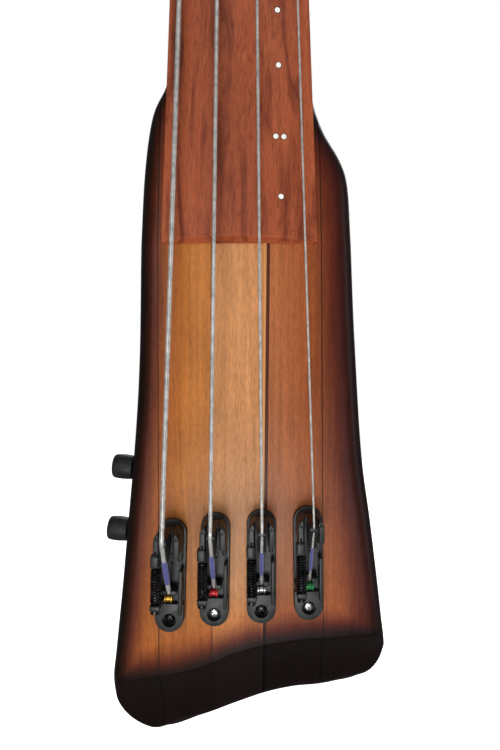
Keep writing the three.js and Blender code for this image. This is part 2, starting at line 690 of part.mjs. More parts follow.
// ---------- controls and electronics in the back of the body ----------
const { left, right, bottom, top, depth } = CAVITY;
const cavityBox = (spread, y0, y1) =>
  box(left - spread, right + spread, y0, y1,
    bottom - spread + BOARD_END_Z, top + spread + BOARD_END_Z);
const cavity = cavityBox(0, BACK_Y - depth, BACK_Y + CUT);
const coverSeat = cavityBox(COVER_LEDGE, BACK_Y - COVER_THICKNESS - GAP, BACK_Y + CUT);
const cavityCover = cavityBox(COVER_LEDGE - GAP, BACK_Y - COVER_THICKNESS, BACK_Y);
add("cavity_cover", cavityCover, blackPlastic);

// Each knob and its pot share a frame at the body's side, with +X running in along the shaft.
const CONTROLS = ["volume", "tone"];
const bushing = POT_BUSHING_RADIUS + GAP;
const shaftWays = CONTROLS.map((control, i) => {
  const frame = new THREE.Matrix4()
    .makeTranslation(KNOB_SIDE_X[i], MID_Y, KNOB_Z[i] + BOARD_END_Z)
    .multiply(new THREE.Matrix4().makeRotationY(KNOB_TILT));
  const group = new THREE.Group();
  frame.decompose(group.position, group.quaternion, group.scale);
  part.add(group);
  const knobIn = -KNOB_STANDOFF;
  const knobOut = knobIn - KNOB_LENGTH;
  const wall = left - KNOB_SIDE_X[i];
  const potFront = wall + GAP + POT_RADIUS * Math.sin(KNOB_TILT);
  const potBack = potFront + POT_DEPTH;
  const shaftEnd = potBack - 3;
  const knob = turned(
    [
      [0, knobOut], [KNOB_RADIUS - 1.6, knobOut], [KNOB_RADIUS - 0.5, knobOut + 1],
      [KNOB_RADIUS, knobIn - 1], [KNOB_RADIUS - 0.4, knobIn], [SHAFT_RADIUS, knobIn],
      [SHAFT_RADIUS, shaftEnd], [0, shaftEnd],
    ],
    "x", [0, 0, 0], 28,
  );
  const way = SHAFT_RADIUS + SHAFT_CLEARANCE;
  const pot = turned(
    [
      [way, GAP], [POT_BUSHING_RADIUS, GAP], [POT_BUSHING_RADIUS, potFront],
      [POT_RADIUS, potFront], [POT_RADIUS, potBack], [0, potBack], [0, shaftEnd + 1],
      [way, shaftEnd + 1], [way, GAP],
    ],
    "x", [0, 0, 0], 20,
  );
  add(`${control}_knob`, knob, blackPlastic, group);
  add(`${control}_pot`, pot, steel, group);
  return rod("x", bushing, -CUT, wall + CUT, [0, 0]).transform(frame.elements);
});

const cavityFront = BACK_Y - depth;
const preampZ = bottom + BOARD_END_Z;
add(
  "preamp_board",
  box(left + 16, right - 3, cavityFront + 3, cavityFront + 4.6, preampZ + 4, preampZ + 50),
  boardGreen,
);
add(
  "battery",
  box(right - 26, right - 3, cavityFront + 3, cavityFront + 20, preampZ + 54, preampZ + 86),
  blackPlastic,
);

const jackZ = JACK.z + BOARD_END_Z;
const jackInner = BACK_Y - JACK.length;
const jack = turned(
  [
    [JACK.bore, BACK_Y + 1.8], [JACK.flange, BACK_Y + 1.8], [JACK.flange, BACK_Y + GAP],
    [JACK.radius, BACK_Y + GAP], [JACK.radius, jackInner], [0, jackInner],
    [0, jackInner + 3], [JACK.bore, jackInner + 3], [JACK.bore, BACK_Y + 1.8],
  ].reverse(),
  "y", [JACK.x, 0, jackZ], 20,
);
add("output_jack", jack, blackMetal);
const jackWell = rod("y", JACK.radius + GAP, jackInner - 2, BACK_Y + CUT, [JACK.x, jackZ]);

const halfPlate = { x: STAND_PLATE.width / 2, z: STAND_PLATE.length / 2 };
const plateInner = -STAND_PLATE.thickness;
const standHole = (spread) => (side) =>
  rod(
    "y", STAND_PLATE.holeRadius + spread, -STAND_BOLT_DEPTH, CUT, [0, (side * STAND_PLATE.holePitch) / 2],
  );
const standHoles = [-1, 1].map(standHole(0));
const boltWells = [-1, 1].map(standHole(GAP));
const standPlate = standHoles.reduce(
  (shape, hole) => shape.subtract(hole),
  box(-halfPlate.x, halfPlate.x, plateInner, 0, -halfPlate.z, halfPlate.z),
);
add("stand_plate", standPlate, blackMetal);
const plateSeat = box(
  -halfPlate.x - GAP, halfPlate.x + GAP, plateInner - GAP, CUT, -halfPlate.z - GAP, halfPlate.z + GAP,
);

// ---------- the body's pieces, with everything let into them ----------
const fixingWays = BRIDGES.map((place) =>
  rod(
    "y", BASE_SCREW_RADIUS + GAP, -CUT, BASE_SCREW_LENGTH, [0, BASE_SCREW_Z], 16,
  ).transform(bridgeMatrix(place).elements),
);
const letInto = [
  cavity, coverSeat, plateSeat, jackWell, ...boltWells, ...shaftWays, ...fixingWays,
];
const cutBy = (shape, cutters) => cutters.reduce((left_, cutter) => left_.subtract(cutter), shape);

const coreBody = wholeBody.intersect(coreRegion);
const neckAndHead = postHoles
  .map(inNeck)
  .reduce((shape, hole) => shape.subtract(hole), neckSolid.add(headPlate));
add("neck_through_core", cutBy(coreBody.add(inBody(neckAndHead.subtract(rodSlot))),
  [...letInto]), coreWood);

const wings = wholeBody.subtract(wingCutter);
const beside = (x0, x1) => wings.intersect(box(x0, x1, -200, 200, -400, 400));
add("bass_wing", cutBy(beside(-200, 0), letInto), wingWood);
add("treble_wing", cutBy(beside(0, 200), letInto), wingWood);

export default part;
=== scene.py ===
import json
import math

import bmesh
import bpy
from mathutils import Matrix, Vector

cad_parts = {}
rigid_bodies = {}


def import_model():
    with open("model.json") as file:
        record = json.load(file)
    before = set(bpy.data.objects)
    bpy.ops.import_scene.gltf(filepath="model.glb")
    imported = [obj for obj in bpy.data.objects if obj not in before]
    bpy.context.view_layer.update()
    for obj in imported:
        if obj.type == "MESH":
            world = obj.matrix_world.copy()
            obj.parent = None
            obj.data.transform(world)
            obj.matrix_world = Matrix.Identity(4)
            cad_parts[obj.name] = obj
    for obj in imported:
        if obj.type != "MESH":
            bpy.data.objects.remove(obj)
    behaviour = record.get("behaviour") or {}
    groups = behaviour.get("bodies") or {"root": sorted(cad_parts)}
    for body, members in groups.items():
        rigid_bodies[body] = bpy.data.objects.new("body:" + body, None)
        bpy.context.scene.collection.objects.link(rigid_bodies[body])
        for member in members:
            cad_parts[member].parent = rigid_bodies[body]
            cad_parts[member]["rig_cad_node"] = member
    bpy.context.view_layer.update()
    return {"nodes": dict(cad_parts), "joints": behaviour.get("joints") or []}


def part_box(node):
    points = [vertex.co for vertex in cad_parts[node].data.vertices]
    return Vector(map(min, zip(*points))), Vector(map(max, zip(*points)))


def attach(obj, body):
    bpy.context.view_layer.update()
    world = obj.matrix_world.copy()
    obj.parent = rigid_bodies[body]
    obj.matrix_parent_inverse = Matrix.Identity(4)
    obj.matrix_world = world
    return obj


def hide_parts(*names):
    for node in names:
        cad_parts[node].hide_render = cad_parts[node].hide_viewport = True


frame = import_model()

bpy.ops.object.select_all(action="DESELECT")

# ---------- Camera and studio ----------
# A close camera over the bridges, looking a little down. A white room with a small key light over
# the bridges, tall soft boxes at the bass and treble sides, one above, and one for the back.
camera_data = bpy.data.cameras.new("camera")
camera_data.lens = 22.886
camera_data.shift_x = -0.01
camera_data.shift_y = 0.0733
camera_data.clip_start = 0.01
camera = bpy.data.objects.new("camera", camera_data)
camera.location = (0.0105, -0.3329, -0.0291)
camera.rotation_euler = (math.radians(83.94), 0, 0)
bpy.context.scene.collection.objects.link(camera)
bpy.context.scene.camera = camera

bpy.context.scene.view_settings.view_transform = "Standard"

FLOOR_Z = -0.42
bpy.ops.mesh.primitive_circle_add(vertices=64, radius=9, fill_type="NGON", location=(0, 0, FLOOR_Z))
floor = bpy.context.object
floor.name = "studio_floor"
floor.visible_glossy = False
paint = bpy.data.materials.new("studio_floor_paint")
paint.use_nodes = True
floor_shader = paint.node_tree.nodes["Principled BSDF"]
floor_shader.inputs["Base Color"].default_value = (0.9, 0.9, 0.9, 1)
floor_shader.inputs["Roughness"].default_value = 0.9
floor_shader.inputs["Emission Color"].default_value = (1, 1, 1, 1)
floor_shader.inputs["Emission Strength"].default_value = 0.9
floor.data.materials.append(paint)


def soft_box(name, place, aim, width, height, power):
    data = bpy.data.lights.new(name, "AREA")
    data.shape = "RECTANGLE"
    data.size = width
    data.size_y = height
    data.energy = power
    lamp = bpy.data.objects.new(name, data)
    lamp.location = place
    lamp.rotation_euler = (Vector(aim) - Vector(place)).to_track_quat("-Z", "Y").to_euler()
    lamp.visible_camera = False
    bpy.context.scene.collection.objects.link(lamp)


soft_box("key_box", (-0.03, -0.8, -0.36), (0, 0, -0.15), 0.25, 0.25, 3.6)
soft_box("bass_side_box", (-0.35, -1.7, 0.5), (0, 0, 0), 0.6, 1.0, 6.5)
soft_box("treble_side_box", (1.2, -0.45, 0.1), (0, 0, -0.1), 0.4, 1.4, 3)
soft_box("top_box", (0.1, -0.9, 1.7), (0, 0, 0.3), 1.0, 0.8, 3.6)
soft_box("back_box", (0.3, 1.6, 0.9), (0, 0, 0.2), 1.6, 1.6, 30)

world = bpy.data.worlds.new("white_room")
bpy.context.scene.world = world
world.use_nodes = True
sky = world.node_tree
background = sky.nodes["Background"]
background.inputs["Color"].default_value = (1, 1, 1, 1)
seen = sky.nodes.new("ShaderNodeLightPath")
level = sky.nodes.new("ShaderNodeMapRange")
ROOM_LIGHT = 0.13
level.inputs["To Min"].default_value = ROOM_LIGHT
sky.links.new(seen.outputs["Is Camera Ray"], level.inputs["Value"])
sky.links.new(level.outputs["Result"], background.inputs["Strength"])

# ---------- Body blank ----------
# The body is one laminated slab, sawn to its outline, rounded over front and back, its upper face
# planed back in line with the neck, and a hollow slope carved across the tail.
MM = 0.001
face_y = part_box("bass_wing")[0].y
back_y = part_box("bass_wing")[1].y
BOARD_END = 50 * MM
TILT = math.radians(6.06)
EDGE_ROUND = 10 * MM
OUTLINE = [
    (-41, 114), (-44.6, 96), (-52.7, 78), (-57.4, 46), (-59.8, 0), (-62.3, -63), (-66.1, -112),
    (-72.2, -167), (-77.5, -214), (-82.7, -256), (-84.8, -278), (-79.5, -303), (-67, -317),
    (-52, -320.5), (-34.5, -315), (-10, -304), (14, -296), (34, -291), (60, -288), (80, -283),
    (91.3, -271), (94, -254), (91.4, -232), (88.1, -207), (82.6, -168), (75.9, -123), (70.2, -52),
    (67.1, 0), (65.1, 35), (60.6, 51), (51.3, 67), (46, 80), (43, 93), (41, 114),
]
SCOOP = [
    (-110, -282, -336), (-66, -272, -321), (-44, -269, -313), (-23, -263, -306.5),
    (-4, -254.5, -299), (16, -249, -291.6), (36, -245.7, -287), (60, -243.8, -284), (110, -240, -270),
]
SCOOP_DEPTH = 18
SCOOP_HOLLOW = 2.5


def smooth_run(points, steps):
    """A spline through points, with its ends held as they are."""
    run = []
    for i in range(len(points) - 1):
        a, b, c, d = (Vector(points[min(max(k, 0), len(points) - 1)]) for k in range(i - 1, i + 3))
        for k in range(steps):
            t = k / steps
            into, out = (c - a) / 2, (d - b) / 2
            run.append(
                (2 * b - 2 * c + into + out) * t**3
                + (-3 * b + 3 * c - 2 * into - out) * t**2 + into * t + b
            )
    return run + [Vector(points[-1])]


def alone(piece):
    bpy.ops.object.select_all(action="DESELECT")
    piece.select_set(True)
    bpy.context.view_layer.objects.active = piece


def edit(piece):
    alone(piece)
    bpy.ops.object.mode_set(mode="EDIT")
    return bmesh.from_edit_mesh(piece.data)


def done():
    bpy.ops.mesh.select_all(action="SELECT")
    bpy.ops.mesh.normals_make_consistent(inside=False)
    bpy.ops.object.mode_set(mode="OBJECT")


def pick(piece, kind, wanted):
    """Selects the vertices, edges or faces of a piece in edit mode that a test is true of."""
    bpy.ops.mesh.select_mode(type=kind)
    bpy.ops.mesh.select_all(action="DESELECT")
    mesh = bmesh.from_edit_mesh(piece.data)
    for element in {"VERT": mesh.verts, "EDGE": mesh.edges, "FACE": mesh.faces}[kind]:
        if wanted(element):
            element.select_set(True)
    mesh.select_flush_mode()
    bmesh.update_edit_mesh(piece.data)


def loft(name, rings):
    """A closed skin: a circle shaped to the first ring, then extruded and shaped ring by ring."""
    count = len(rings[0])
    bpy.ops.mesh.primitive_circle_add(vertices=count, fill_type="NOTHING")
    piece = bpy.context.object
    piece.name = name
    mesh = edit(piece)
    for vertex, place in zip(mesh.verts, rings[0]):
        vertex.co = place
    front = list(range(count))
    for ring in rings[1:]:
        bpy.ops.mesh.extrude_edges_move()
        mesh = bmesh.from_edit_mesh(piece.data)
        mesh.verts.ensure_lookup_table()
        fresh = []
        for index, place in zip(front, ring):
            old = mesh.verts[index]
            new = next(e.other_vert(old) for e in old.link_edges if e.other_vert(old).select)
            new.co = place
            fresh.append(new.index)
        front = fresh
    bmesh.update_edit_mesh(piece.data)
    for rim in (set(range(count)), set(front)):
        pick(piece, "EDGE", lambda e: {v.index for v in e.verts} <= rim and len(e.link_faces) == 1)
        bpy.ops.mesh.edge_face_add()
    done()
    return piece


def carve(piece, tool, operation="DIFFERENCE"):
    """Cuts a tool out of a piece, or joins it on, and clears the tool away."""
    change = piece.modifiers.new("carve", "BOOLEAN")
    change.operation = operation
    change.object = tool
    change.solver = "MANIFOLD"
    alone(piece)
    bpy.ops.object.modifier_apply(modifier=change.name)
    bpy.data.objects.remove(tool)


def copy_of(piece, name, matrix=Matrix.Identity(4)):
    twin = piece.copy()
    twin.data = piece.data.copy()
    twin.name = name
    if "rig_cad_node" in twin:
        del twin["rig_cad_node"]
    twin.data.transform(matrix)
    bpy.context.scene.collection.objects.link(twin)
    return twin


def soften(piece, angle=30, weighted=False):
    """Smooth shading that breaks at real corners, with flat faces kept flat."""
    alone(piece)
    bpy.ops.object.shade_smooth_by_angle(angle=math.radians(angle))
    if weighted:
        steady = piece.modifiers.new("steady", "WEIGHTED_NORMAL")
        steady.keep_sharp = True
        bpy.ops.object.modifier_apply(modifier=steady.name)


def clad(piece, look, angle=34, weighted=False):
    """Shades a finished piece and gives it its one material."""
    soften(piece, angle, weighted)
    piece.data.materials.clear()
    piece.data.materials.append(look)


def block(name, low, high, turn=None):
    """A cube primitive sized between two corners, in millimetres."""
    middle = [(a + b) / 2 * MM for a, b in zip(low, high)]
    size = [abs(b - a) * MM for a, b in zip(low, high)]
    bpy.ops.mesh.primitive_cube_add(size=1, location=middle, scale=size)
    piece = bpy.context.object
    piece.name = name
    bpy.ops.object.transform_apply(location=True, rotation=True, scale=True)
    if turn:
        piece.data.transform(turn)
    return piece


def bar(name, radius, start, end, sides=24, matrix=None):
    """A cylinder primitive from one point to another, in millimetres."""
    a, b = Vector(start) * MM, Vector(end) * MM
    turn = (b - a).to_track_quat("Z", "Y").to_euler()
    bpy.ops.mesh.primitive_cylinder_add(
        vertices=sides, radius=radius * MM, depth=(b - a).length, location=(a + b) / 2, rotation=turn
    )
    piece = bpy.context.object
    piece.name = name
    bpy.ops.object.transform_apply(location=True, rotation=True, scale=True)
    if matrix:
        piece.data.transform(matrix)
    return piece


edge_run = [Vector((p.x * MM, p.y * MM + BOARD_END)) for p in smooth_run(OUTLINE, 5)]
bpy.ops.mesh.primitive_circle_add(vertices=len(edge_run), fill_type="NGON")
blank = bpy.context.object
blank.name = "body_blank"
mesh = edit(blank)
mesh.verts.ensure_lookup_table()
for vertex, place in zip(mesh.verts, edge_run):
    vertex.co = (place.x, face_y, place.y)
bmesh.update_edit_mesh(blank.data)
bpy.ops.mesh.extrude_region_move(TRANSFORM_OT_translate={"value": (0, back_y - face_y, 0)})
pick(blank, "EDGE", lambda e: abs(e.verts[0].co.y - e.verts[1].co.y) < 0.1 * MM)
bpy.ops.mesh.bevel(offset=EDGE_ROUND, segments=9, profile=0.5, clamp_overlap=False)
bpy.ops.mesh.select_all(action="SELECT")
bpy.ops.mesh.bisect(plane_co=(0, 0, BOARD_END), plane_no=(0, 0, 1))
mesh = bmesh.from_edit_mesh(blank.data)
for vertex in mesh.verts:
    if vertex.co.z > BOARD_END and vertex.co.y < (face_y + back_y) / 2:
        vertex.co.y += math.tan(TILT) * (vertex.co.z - BOARD_END)
bmesh.update_edit_mesh(blank.data)
done()

# The gouge that carves the tail's slope: its section starts soft, runs down hollow and ends at a step.
SCOOP_STEPS = 14
slope_rings = []
for x, upper, lower in smooth_run(SCOOP, 5):
    section = [(-5, lower - 40), (-5, upper + 3), (-0.5, upper + 3), (-0.02, upper + 1), (0.12, upper)]
    for k in range(1, SCOOP_STEPS + 1):
        share = k / SCOOP_STEPS
        depth = SCOOP_DEPTH * share + SCOOP_HOLLOW * math.sin(math.pi * share) + 0.12
        section.append((depth, upper + (lower - upper) * share))
    section += [
        (SCOOP_DEPTH + 1.6, lower - 2.5), (SCOOP_DEPTH + 4, lower - 4.5), (SCOOP_DEPTH + 4, lower - 40),
    ]
    slope_rings.append([Vector((x * MM, face_y + d * MM, z * MM + BOARD_END)) for d, z in section])
carve(blank, loft("gouge", slope_rings))

# The seats let into the blank: the electronics cavity's cover, the stand plate, the output jack,
# the knobs' shafts and the bridges' fixing screws.
joints = {joint["name"]: joint for joint in frame["joints"]}
FIT = 0.3
PAST_BACK = 20


def roomy(node):
    """A box a little larger than a node, open through the back of the body."""
    low, high = (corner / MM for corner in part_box(node))
    return block(
        "seat", (low.x - FIT, low.y - FIT, low.z - FIT), (high.x + FIT, PAST_BACK, high.z + FIT),
    )


cover_seat = roomy("cavity_cover")
plate_seat = roomy("stand_plate")
cavity_low, cavity_high = (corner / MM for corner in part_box("cavity_cover"))
COVER_LEDGE = 7
CAVITY_DEPTH = 32
cavity = block(
    "cavity", (cavity_low.x + COVER_LEDGE, cavity_high.y - CAVITY_DEPTH, cavity_low.z + COVER_LEDGE),
    (cavity_high.x - COVER_LEDGE, PAST_BACK, cavity_high.z - COVER_LEDGE),
)
jack_low, jack_high = (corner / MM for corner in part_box("output_jack"))
jack_x, jack_z = (jack_low.x + jack_high.x) / 2, (jack_low.z + jack_high.z) / 2
JACK_BARREL = 7
jack_well = bar(
    "jack_well", JACK_BARREL + FIT, (jack_x, jack_low.y - 2, jack_z), (jack_x, PAST_BACK, jack_z), 40
)


def shaft_of(control):
    """Where a pot's shaft leaves the bass side, in metres, and which way it points."""
    outward = Vector(joints[f"{control}_turn"]["axis"])
    return Vector(joints[f"{control}_turn"]["pos_m"]), outward if outward.x < 0 else -outward


shaft_ways = []
for control in ("volume", "tone"):
    place, outward = shaft_of(control)
    place = place / MM
    shaft_ways.append(bar("shaft_way", 3.9, place + outward * 5, place - outward * 14, 32))

# ---------- Sunburst lacquer ----------
# A satin lacquer over maple-like wood, shaded from black at the edges through dark red to
# amber in the middle. The core is a lamination: golden at the bass side, paler in the middle, a narrow
# dark brown strip, and a redder treble side, with thin glue lines between.


def tone(red, green, blue):
    """A screen colour, 0 to 255, as the linear value that a shader takes."""
    shares = [c / 255 for c in (red, green, blue)]
    return (*[((c + 0.055) / 1.055) ** 2.4 if c > 10 / 255 else c / 12.92 for c in shares], 1)


def finish(name, roughness, metallic=0.0, coat=0.0, specular=0.5):
    material = bpy.data.materials.new(name)
    material.use_nodes = True
    shader = material.node_tree.nodes["Principled BSDF"]
    shader.inputs["Roughness"].default_value = roughness
    shader.inputs["Metallic"].default_value = metallic
    shader.inputs["Coat Weight"].default_value = coat
    shader.inputs["Coat Roughness"].default_value = 0.1
    shader.inputs["Specular IOR Level"].default_value = specular
    return material, material.node_tree, shader


def put(tree, kind, settings=None, **sockets):
    """Adds a node; sockets are named with _ for a space, or in0, in1 for the ones that share a name."""
    made = tree.nodes.new("ShaderNode" + kind)
    for key, value in (settings or {}).items():
        setattr(made, key, value)
    for key, value in sockets.items():
        at = int(key[2:]) if key[:2] == "in" and key[2:].isdigit() else key.replace("_", " ")
        if isinstance(value, bpy.types.NodeSocket):
            tree.links.new(value, made.inputs[at])
        else:
            made.inputs[at].default_value = value
    return made.outputs[0]


def sum_of(tree, operation, a, b=0.0, c=None, clamp=False):
    sockets = {"in0": a, "in1": b}
    if c is not None:
        sockets["in2"] = c
    return put(tree, "Math", {"operation": operation, "use_clamp": clamp}, **sockets)


def blended(tree, share, a, b, how="MIX"):
    """Colour a turning to colour b by a share, mixed or multiplied."""
    mixer = tree.nodes.new("ShaderNodeMix")
    mixer.data_type = "RGBA"
    mixer.blend_type = how
    for socket, value in ((mixer.inputs[0], share), (mixer.inputs[6], a), (mixer.inputs[7], b)):
        if isinstance(value, bpy.types.NodeSocket):
            tree.links.new(value, socket)
        else:
            socket.default_value = value
    return mixer.outputs[2]


def ramp(tree, value, stops):
    made = tree.nodes.new("ShaderNodeValToRGB")
    tree.links.new(value, made.inputs[0])
    elements = made.color_ramp.elements
    while len(elements) < len(stops):
        elements.new(0.5)
    for element, (at, colour) in zip(elements, stops):
        element.position = at
        element.color = colour if len(colour) == 4 else (*colour, 1)
    return made.outputs[0]


def speckle(tree, scale, stretch=(1, 1, 1), detail=4.0, twist=0.0):
    """Noise at a real scale, in cycles per metre, stretched along the grain."""
    coordinates = tree.nodes.new("ShaderNodeTexCoord").outputs["Object"]
    laid = put(tree, "Mapping", Vector=coordinates, Scale=stretch)
    return put(
        tree, "TexNoise", Vector=laid, Scale=scale, Detail=detail, Roughness=0.6, Distortion=twist
    )


def roughen(tree, shader, base, swing, scale, depth, stretch=(1, 1, 1)):
    """Uneven gloss and a fine relief, both in the surface's own scale."""
    grain = speckle(tree, scale, stretch)
    gloss = put(
        tree, "MapRange", Value=grain, From_Min=0.3, From_Max=0.7, To_Min=base - swing, To_Max=base + swing
    )
    tree.links.new(gloss, shader.inputs["Roughness"])
    bump = put(tree, "Bump", Height=grain, Strength=1.0, Distance=depth)
    tree.links.new(bump, shader.inputs["Normal"])


SPAN_LOW, SPAN_HIGH = -0.30, 0.18
REACH = 0.11


def edge_curve(tree, value, points):
    """A Float Curve through (place, reach) points, both already between 0 and 1."""
    made = tree.nodes.new("ShaderNodeFloatCurve")
    curve = made.mapping.curves[0]
    curve.points[0].location = points[0]
    curve.points[-1].location = points[-1]
    for place in points[1:-1]:
        curve.points.new(*place)
    made.mapping.update()
    tree.links.new(value, made.inputs["Value"])
    return made.outputs[0]


def edge_points(side):
    """The outline's reach on one side, from the tail's corner up to the shoulder."""
    found = [
        ((z * MM + BOARD_END - SPAN_LOW) / (SPAN_HIGH - SPAN_LOW), abs(x) * MM / REACH)
        for x, z in OUTLINE if x * side > 0 and z > -279
    ]
    return sorted(found)


burst, tree, shader = finish("sunburst_lacquer", 0.4, specular=0.15)
axes = tree.nodes.new("ShaderNodeSeparateXYZ")
tree.links.new(tree.nodes.new("ShaderNodeTexCoord").outputs["Object"], axes.inputs[0])
x, z = axes.outputs["X"], axes.outputs["Z"]
up_the_body = put(tree, "MapRange", Value=z, From_Min=SPAN_LOW, From_Max=SPAN_HIGH)
BASS_EDGE_IN = 0.003
left = sum_of(tree, "MULTIPLY_ADD", edge_curve(tree, up_the_body, edge_points(-1)), REACH, x)
left = sum_of(tree, "SUBTRACT", left, BASS_EDGE_IN)
right = sum_of(tree, "MULTIPLY", edge_curve(tree, up_the_body, edge_points(1)), REACH)
right = sum_of(tree, "SUBTRACT", right, x)
across = put(tree, "MapRange", Value=x, From_Min=-REACH, From_Max=REACH)
tail_points = [
    ((sx + 110) / 220, (su * MM + BOARD_END - SPAN_LOW) / (SPAN_HIGH - SPAN_LOW)) for sx, su, _ in SCOOP
]
tail = sum_of(tree, "MULTIPLY_ADD", edge_curve(tree, across, tail_points), SPAN_HIGH - SPAN_LOW, SPAN_LOW)
below = sum_of(tree, "SUBTRACT", z, tail)
TREBLE_SPREAD = 0.55
TAIL_SPREAD = 0.8
inward = sum_of(tree, "SMOOTH_MIN", left, sum_of(tree, "MULTIPLY", right, TREBLE_SPREAD), 0.006)
inward = sum_of(tree, "SMOOTH_MIN", inward, sum_of(tree, "MULTIPLY", below, TAIL_SPREAD), 0.006)
uneven = sum_of(tree, "MULTIPLY_ADD", speckle(tree, 28, (1, 1, 0.5)), 0.004, -0.002)
inward = sum_of(tree, "ADD", inward, uneven)
BURST_WIDTH = 0.035
shade = ramp(tree, sum_of(tree, "DIVIDE", inward, BURST_WIDTH, clamp=True), [
    (0.0, (0.012, 0.012, 0.03)), (0.07, (0.035, 0.035, 0.08)), (0.157, (0.12, 0.06, 0.10)),
    (0.243, (0.27, 0.13, 0.12)), (0.5, (0.83, 0.64, 0.44)), (0.77, (0.95, 0.88, 0.77)), (1.0, (1, 1, 1)),
])
height = sum_of(tree, "SUBTRACT", z, BOARD_END)
bass_line = sum_of(tree, "SUBTRACT", x, sum_of(tree, "MULTIPLY_ADD", height, 0.0086, -0.0166))
brown_line = sum_of(tree, "SUBTRACT", x, sum_of(tree, "MULTIPLY_ADD", height, 0.008, 0.0169))
wood = blended(tree, sum_of(tree, "GREATER_THAN", bass_line, 0), tone(168, 104, 46), tone(184, 128, 82))
wood = blended(tree, sum_of(tree, "GREATER_THAN", brown_line, 0), wood, tone(160, 98, 62))
streak, fleck, cloud = (
    speckle(tree, 420, (1, 1, 0.035), 3), speckle(tree, 900, (1, 1, 0.22), 2),
    speckle(tree, 22, (1, 1, 0.45), 3, twist=0.6),
)
for figure, stops in (
    (streak, [(0.3, (0.8, 0.78, 0.74)), (0.68, (1.1, 1.1, 1.1))]),
    (fleck, [(0.34, (0.84, 0.82, 0.8)), (0.6, (1.06, 1.06, 1.06))]),
    (cloud, [(0.3, (0.84, 0.82, 0.8)), (0.7, (1.12, 1.12, 1.1))]),
):
    wood = blended(tree, 1.0, wood, ramp(tree, figure, stops), "MULTIPLY")


def line(distance, half_width, blur=0.0003):
    away = sum_of(tree, "ABSOLUTE", distance)
    return put(
        tree, "MapRange", Value=away, From_Min=half_width, From_Max=half_width + blur, To_Min=1, To_Max=0
    )


core_edge = sum_of(tree, "MULTIPLY_ADD", height, -0.019, 0.048)
joint_line = sum_of(tree, "SUBTRACT", sum_of(tree, "ABSOLUTE", x), core_edge)
wood = blended(tree, line(brown_line, 0.00085), wood, tone(74, 36, 22))
wood = blended(tree, line(sum_of(tree, "ADD", brown_line, 0.0018), 0.0004), wood, tone(196, 138, 84))
for glue, strength in ((bass_line, 0.75), (joint_line, 0.85)):
    share = sum_of(tree, "MULTIPLY", line(glue, 0.0002), strength)
    wood = blended(tree, share, wood, tone(58, 26, 16))
wood = blended(tree, 1.0, wood, shade, "MULTIPLY")
tree.links.new(wood, shader.inputs["Base Color"])
roughen(tree, shader, 0.36, 0.05, 700, 0.000012, (1, 1, 0.08))

# ---------- Core, neck and headstock ----------
# One long lamination runs from the tail to the headstock's tip. The neck is shaved to a flattened
# round, deepens into the heel, and carries the leaning headstock with its four post holes.
neck_frame = Matrix.Translation((0, face_y, BOARD_END)) @ Matrix.Rotation(-TILT, 4, "X")
BOARD_LENGTH = 707
NUT_LENGTH = 5
BOARD_END_HALF, NUT_HALF = 45.4, 19.5
HEEL_END, TAPER_START = 112, 176
HEAD_TILT = math.radians(9)
head_frame = neck_frame @ Matrix.Translation((0, 0, (BOARD_LENGTH + NUT_LENGTH) * MM)) \
    @ Matrix.Rotation(-HEAD_TILT, 4, "X")


def board_half(height):
    return BOARD_END_HALF - (BOARD_END_HALF - NUT_HALF) * height / BOARD_LENGTH


def neck_depth(height):
    """Full at the heel, falling in a smooth curve to the playing stretch, then evenly to the nut."""
    heel, low, top = 30, 24.5, 21
    if height < HEEL_END:
        return heel
    if height < TAPER_START:
        share = (height - HEEL_END) / (TAPER_START - HEEL_END)
        return heel + (low - heel) * share * share * (3 - 2 * share)
    return low + (top - low) * (height - TAPER_START) / (BOARD_LENGTH + NUT_LENGTH - TAPER_START)


NECK_SIDES = 36
neck_rings = []
stations = [66, 90, HEEL_END, *range(120, 180, 6), 220, 320, 420, 520, 620, 680]
for height in [*stations, BOARD_LENGTH + NUT_LENGTH]:
    ring = []
    for i in range(NECK_SIDES + 1):
        angle = math.pi * i / NECK_SIDES
        depth = 0.03 + neck_depth(height) * math.sin(angle) ** 0.75
        shaved = Vector((board_half(height) * math.cos(angle), depth, height)) * MM
        ring.append(neck_frame @ shaved)
    neck_rings.append(ring)
neck = loft("neck", neck_rings)

HEAD_SIDE = [
    (19.5, -4), (20.5, 8), (26, 20), (31.6, 30), (33, 38), (32.4, 80), (31, 132), (28, 143), (20, 150),
]
head_run = smooth_run(HEAD_SIDE, 5)
head_run += [Vector((-p.x, p.y)) for p in reversed(head_run)]
HEAD_FRONT, HEAD_BACK = 0.5, 16.5
head = loft("headstock", [[head_frame @ (Vector((p.x, y, p.y)) * MM) for p in head_run]
                          for y in (HEAD_FRONT, HEAD_BACK)])
HEAD_EDGE = 1.5 * MM
edit(head)
pick(head, "EDGE", lambda e: len(e.link_faces) == 2 and max(len(f.verts) for f in e.link_faces) > 8)
bpy.ops.mesh.bevel(offset=HEAD_EDGE, segments=4, clamp_overlap=False)
done()
POST_RADIUS, POST_X = 4.6, 17
TUNERS = {"e": (-1, 54), "a": (-1, 108), "d": (1, 108), "g": (1, 54)}
for side, height in TUNERS.values():
    carve(head, bar(
        "post_hole", POST_RADIUS + 0.6, (side * POST_X, -5, height), (side * POST_X, 25, height),
        32, head_frame,
    ))
carve(neck, head, "UNION")
ROD_LOW, ROD_HIGH = 127.7, 688.3
carve(neck, block("rod_slot", (-3.3, -2, ROD_LOW), (3.3, 10.3, ROD_HIGH), neck_frame))

# The blank is sawn along the core's two flaring sides; the wings keep a hair's gap to the glue line.
CORE_FLARE = 0.019
CORE_HALF = 48 * MM
WING_GAP = 0.05 * MM


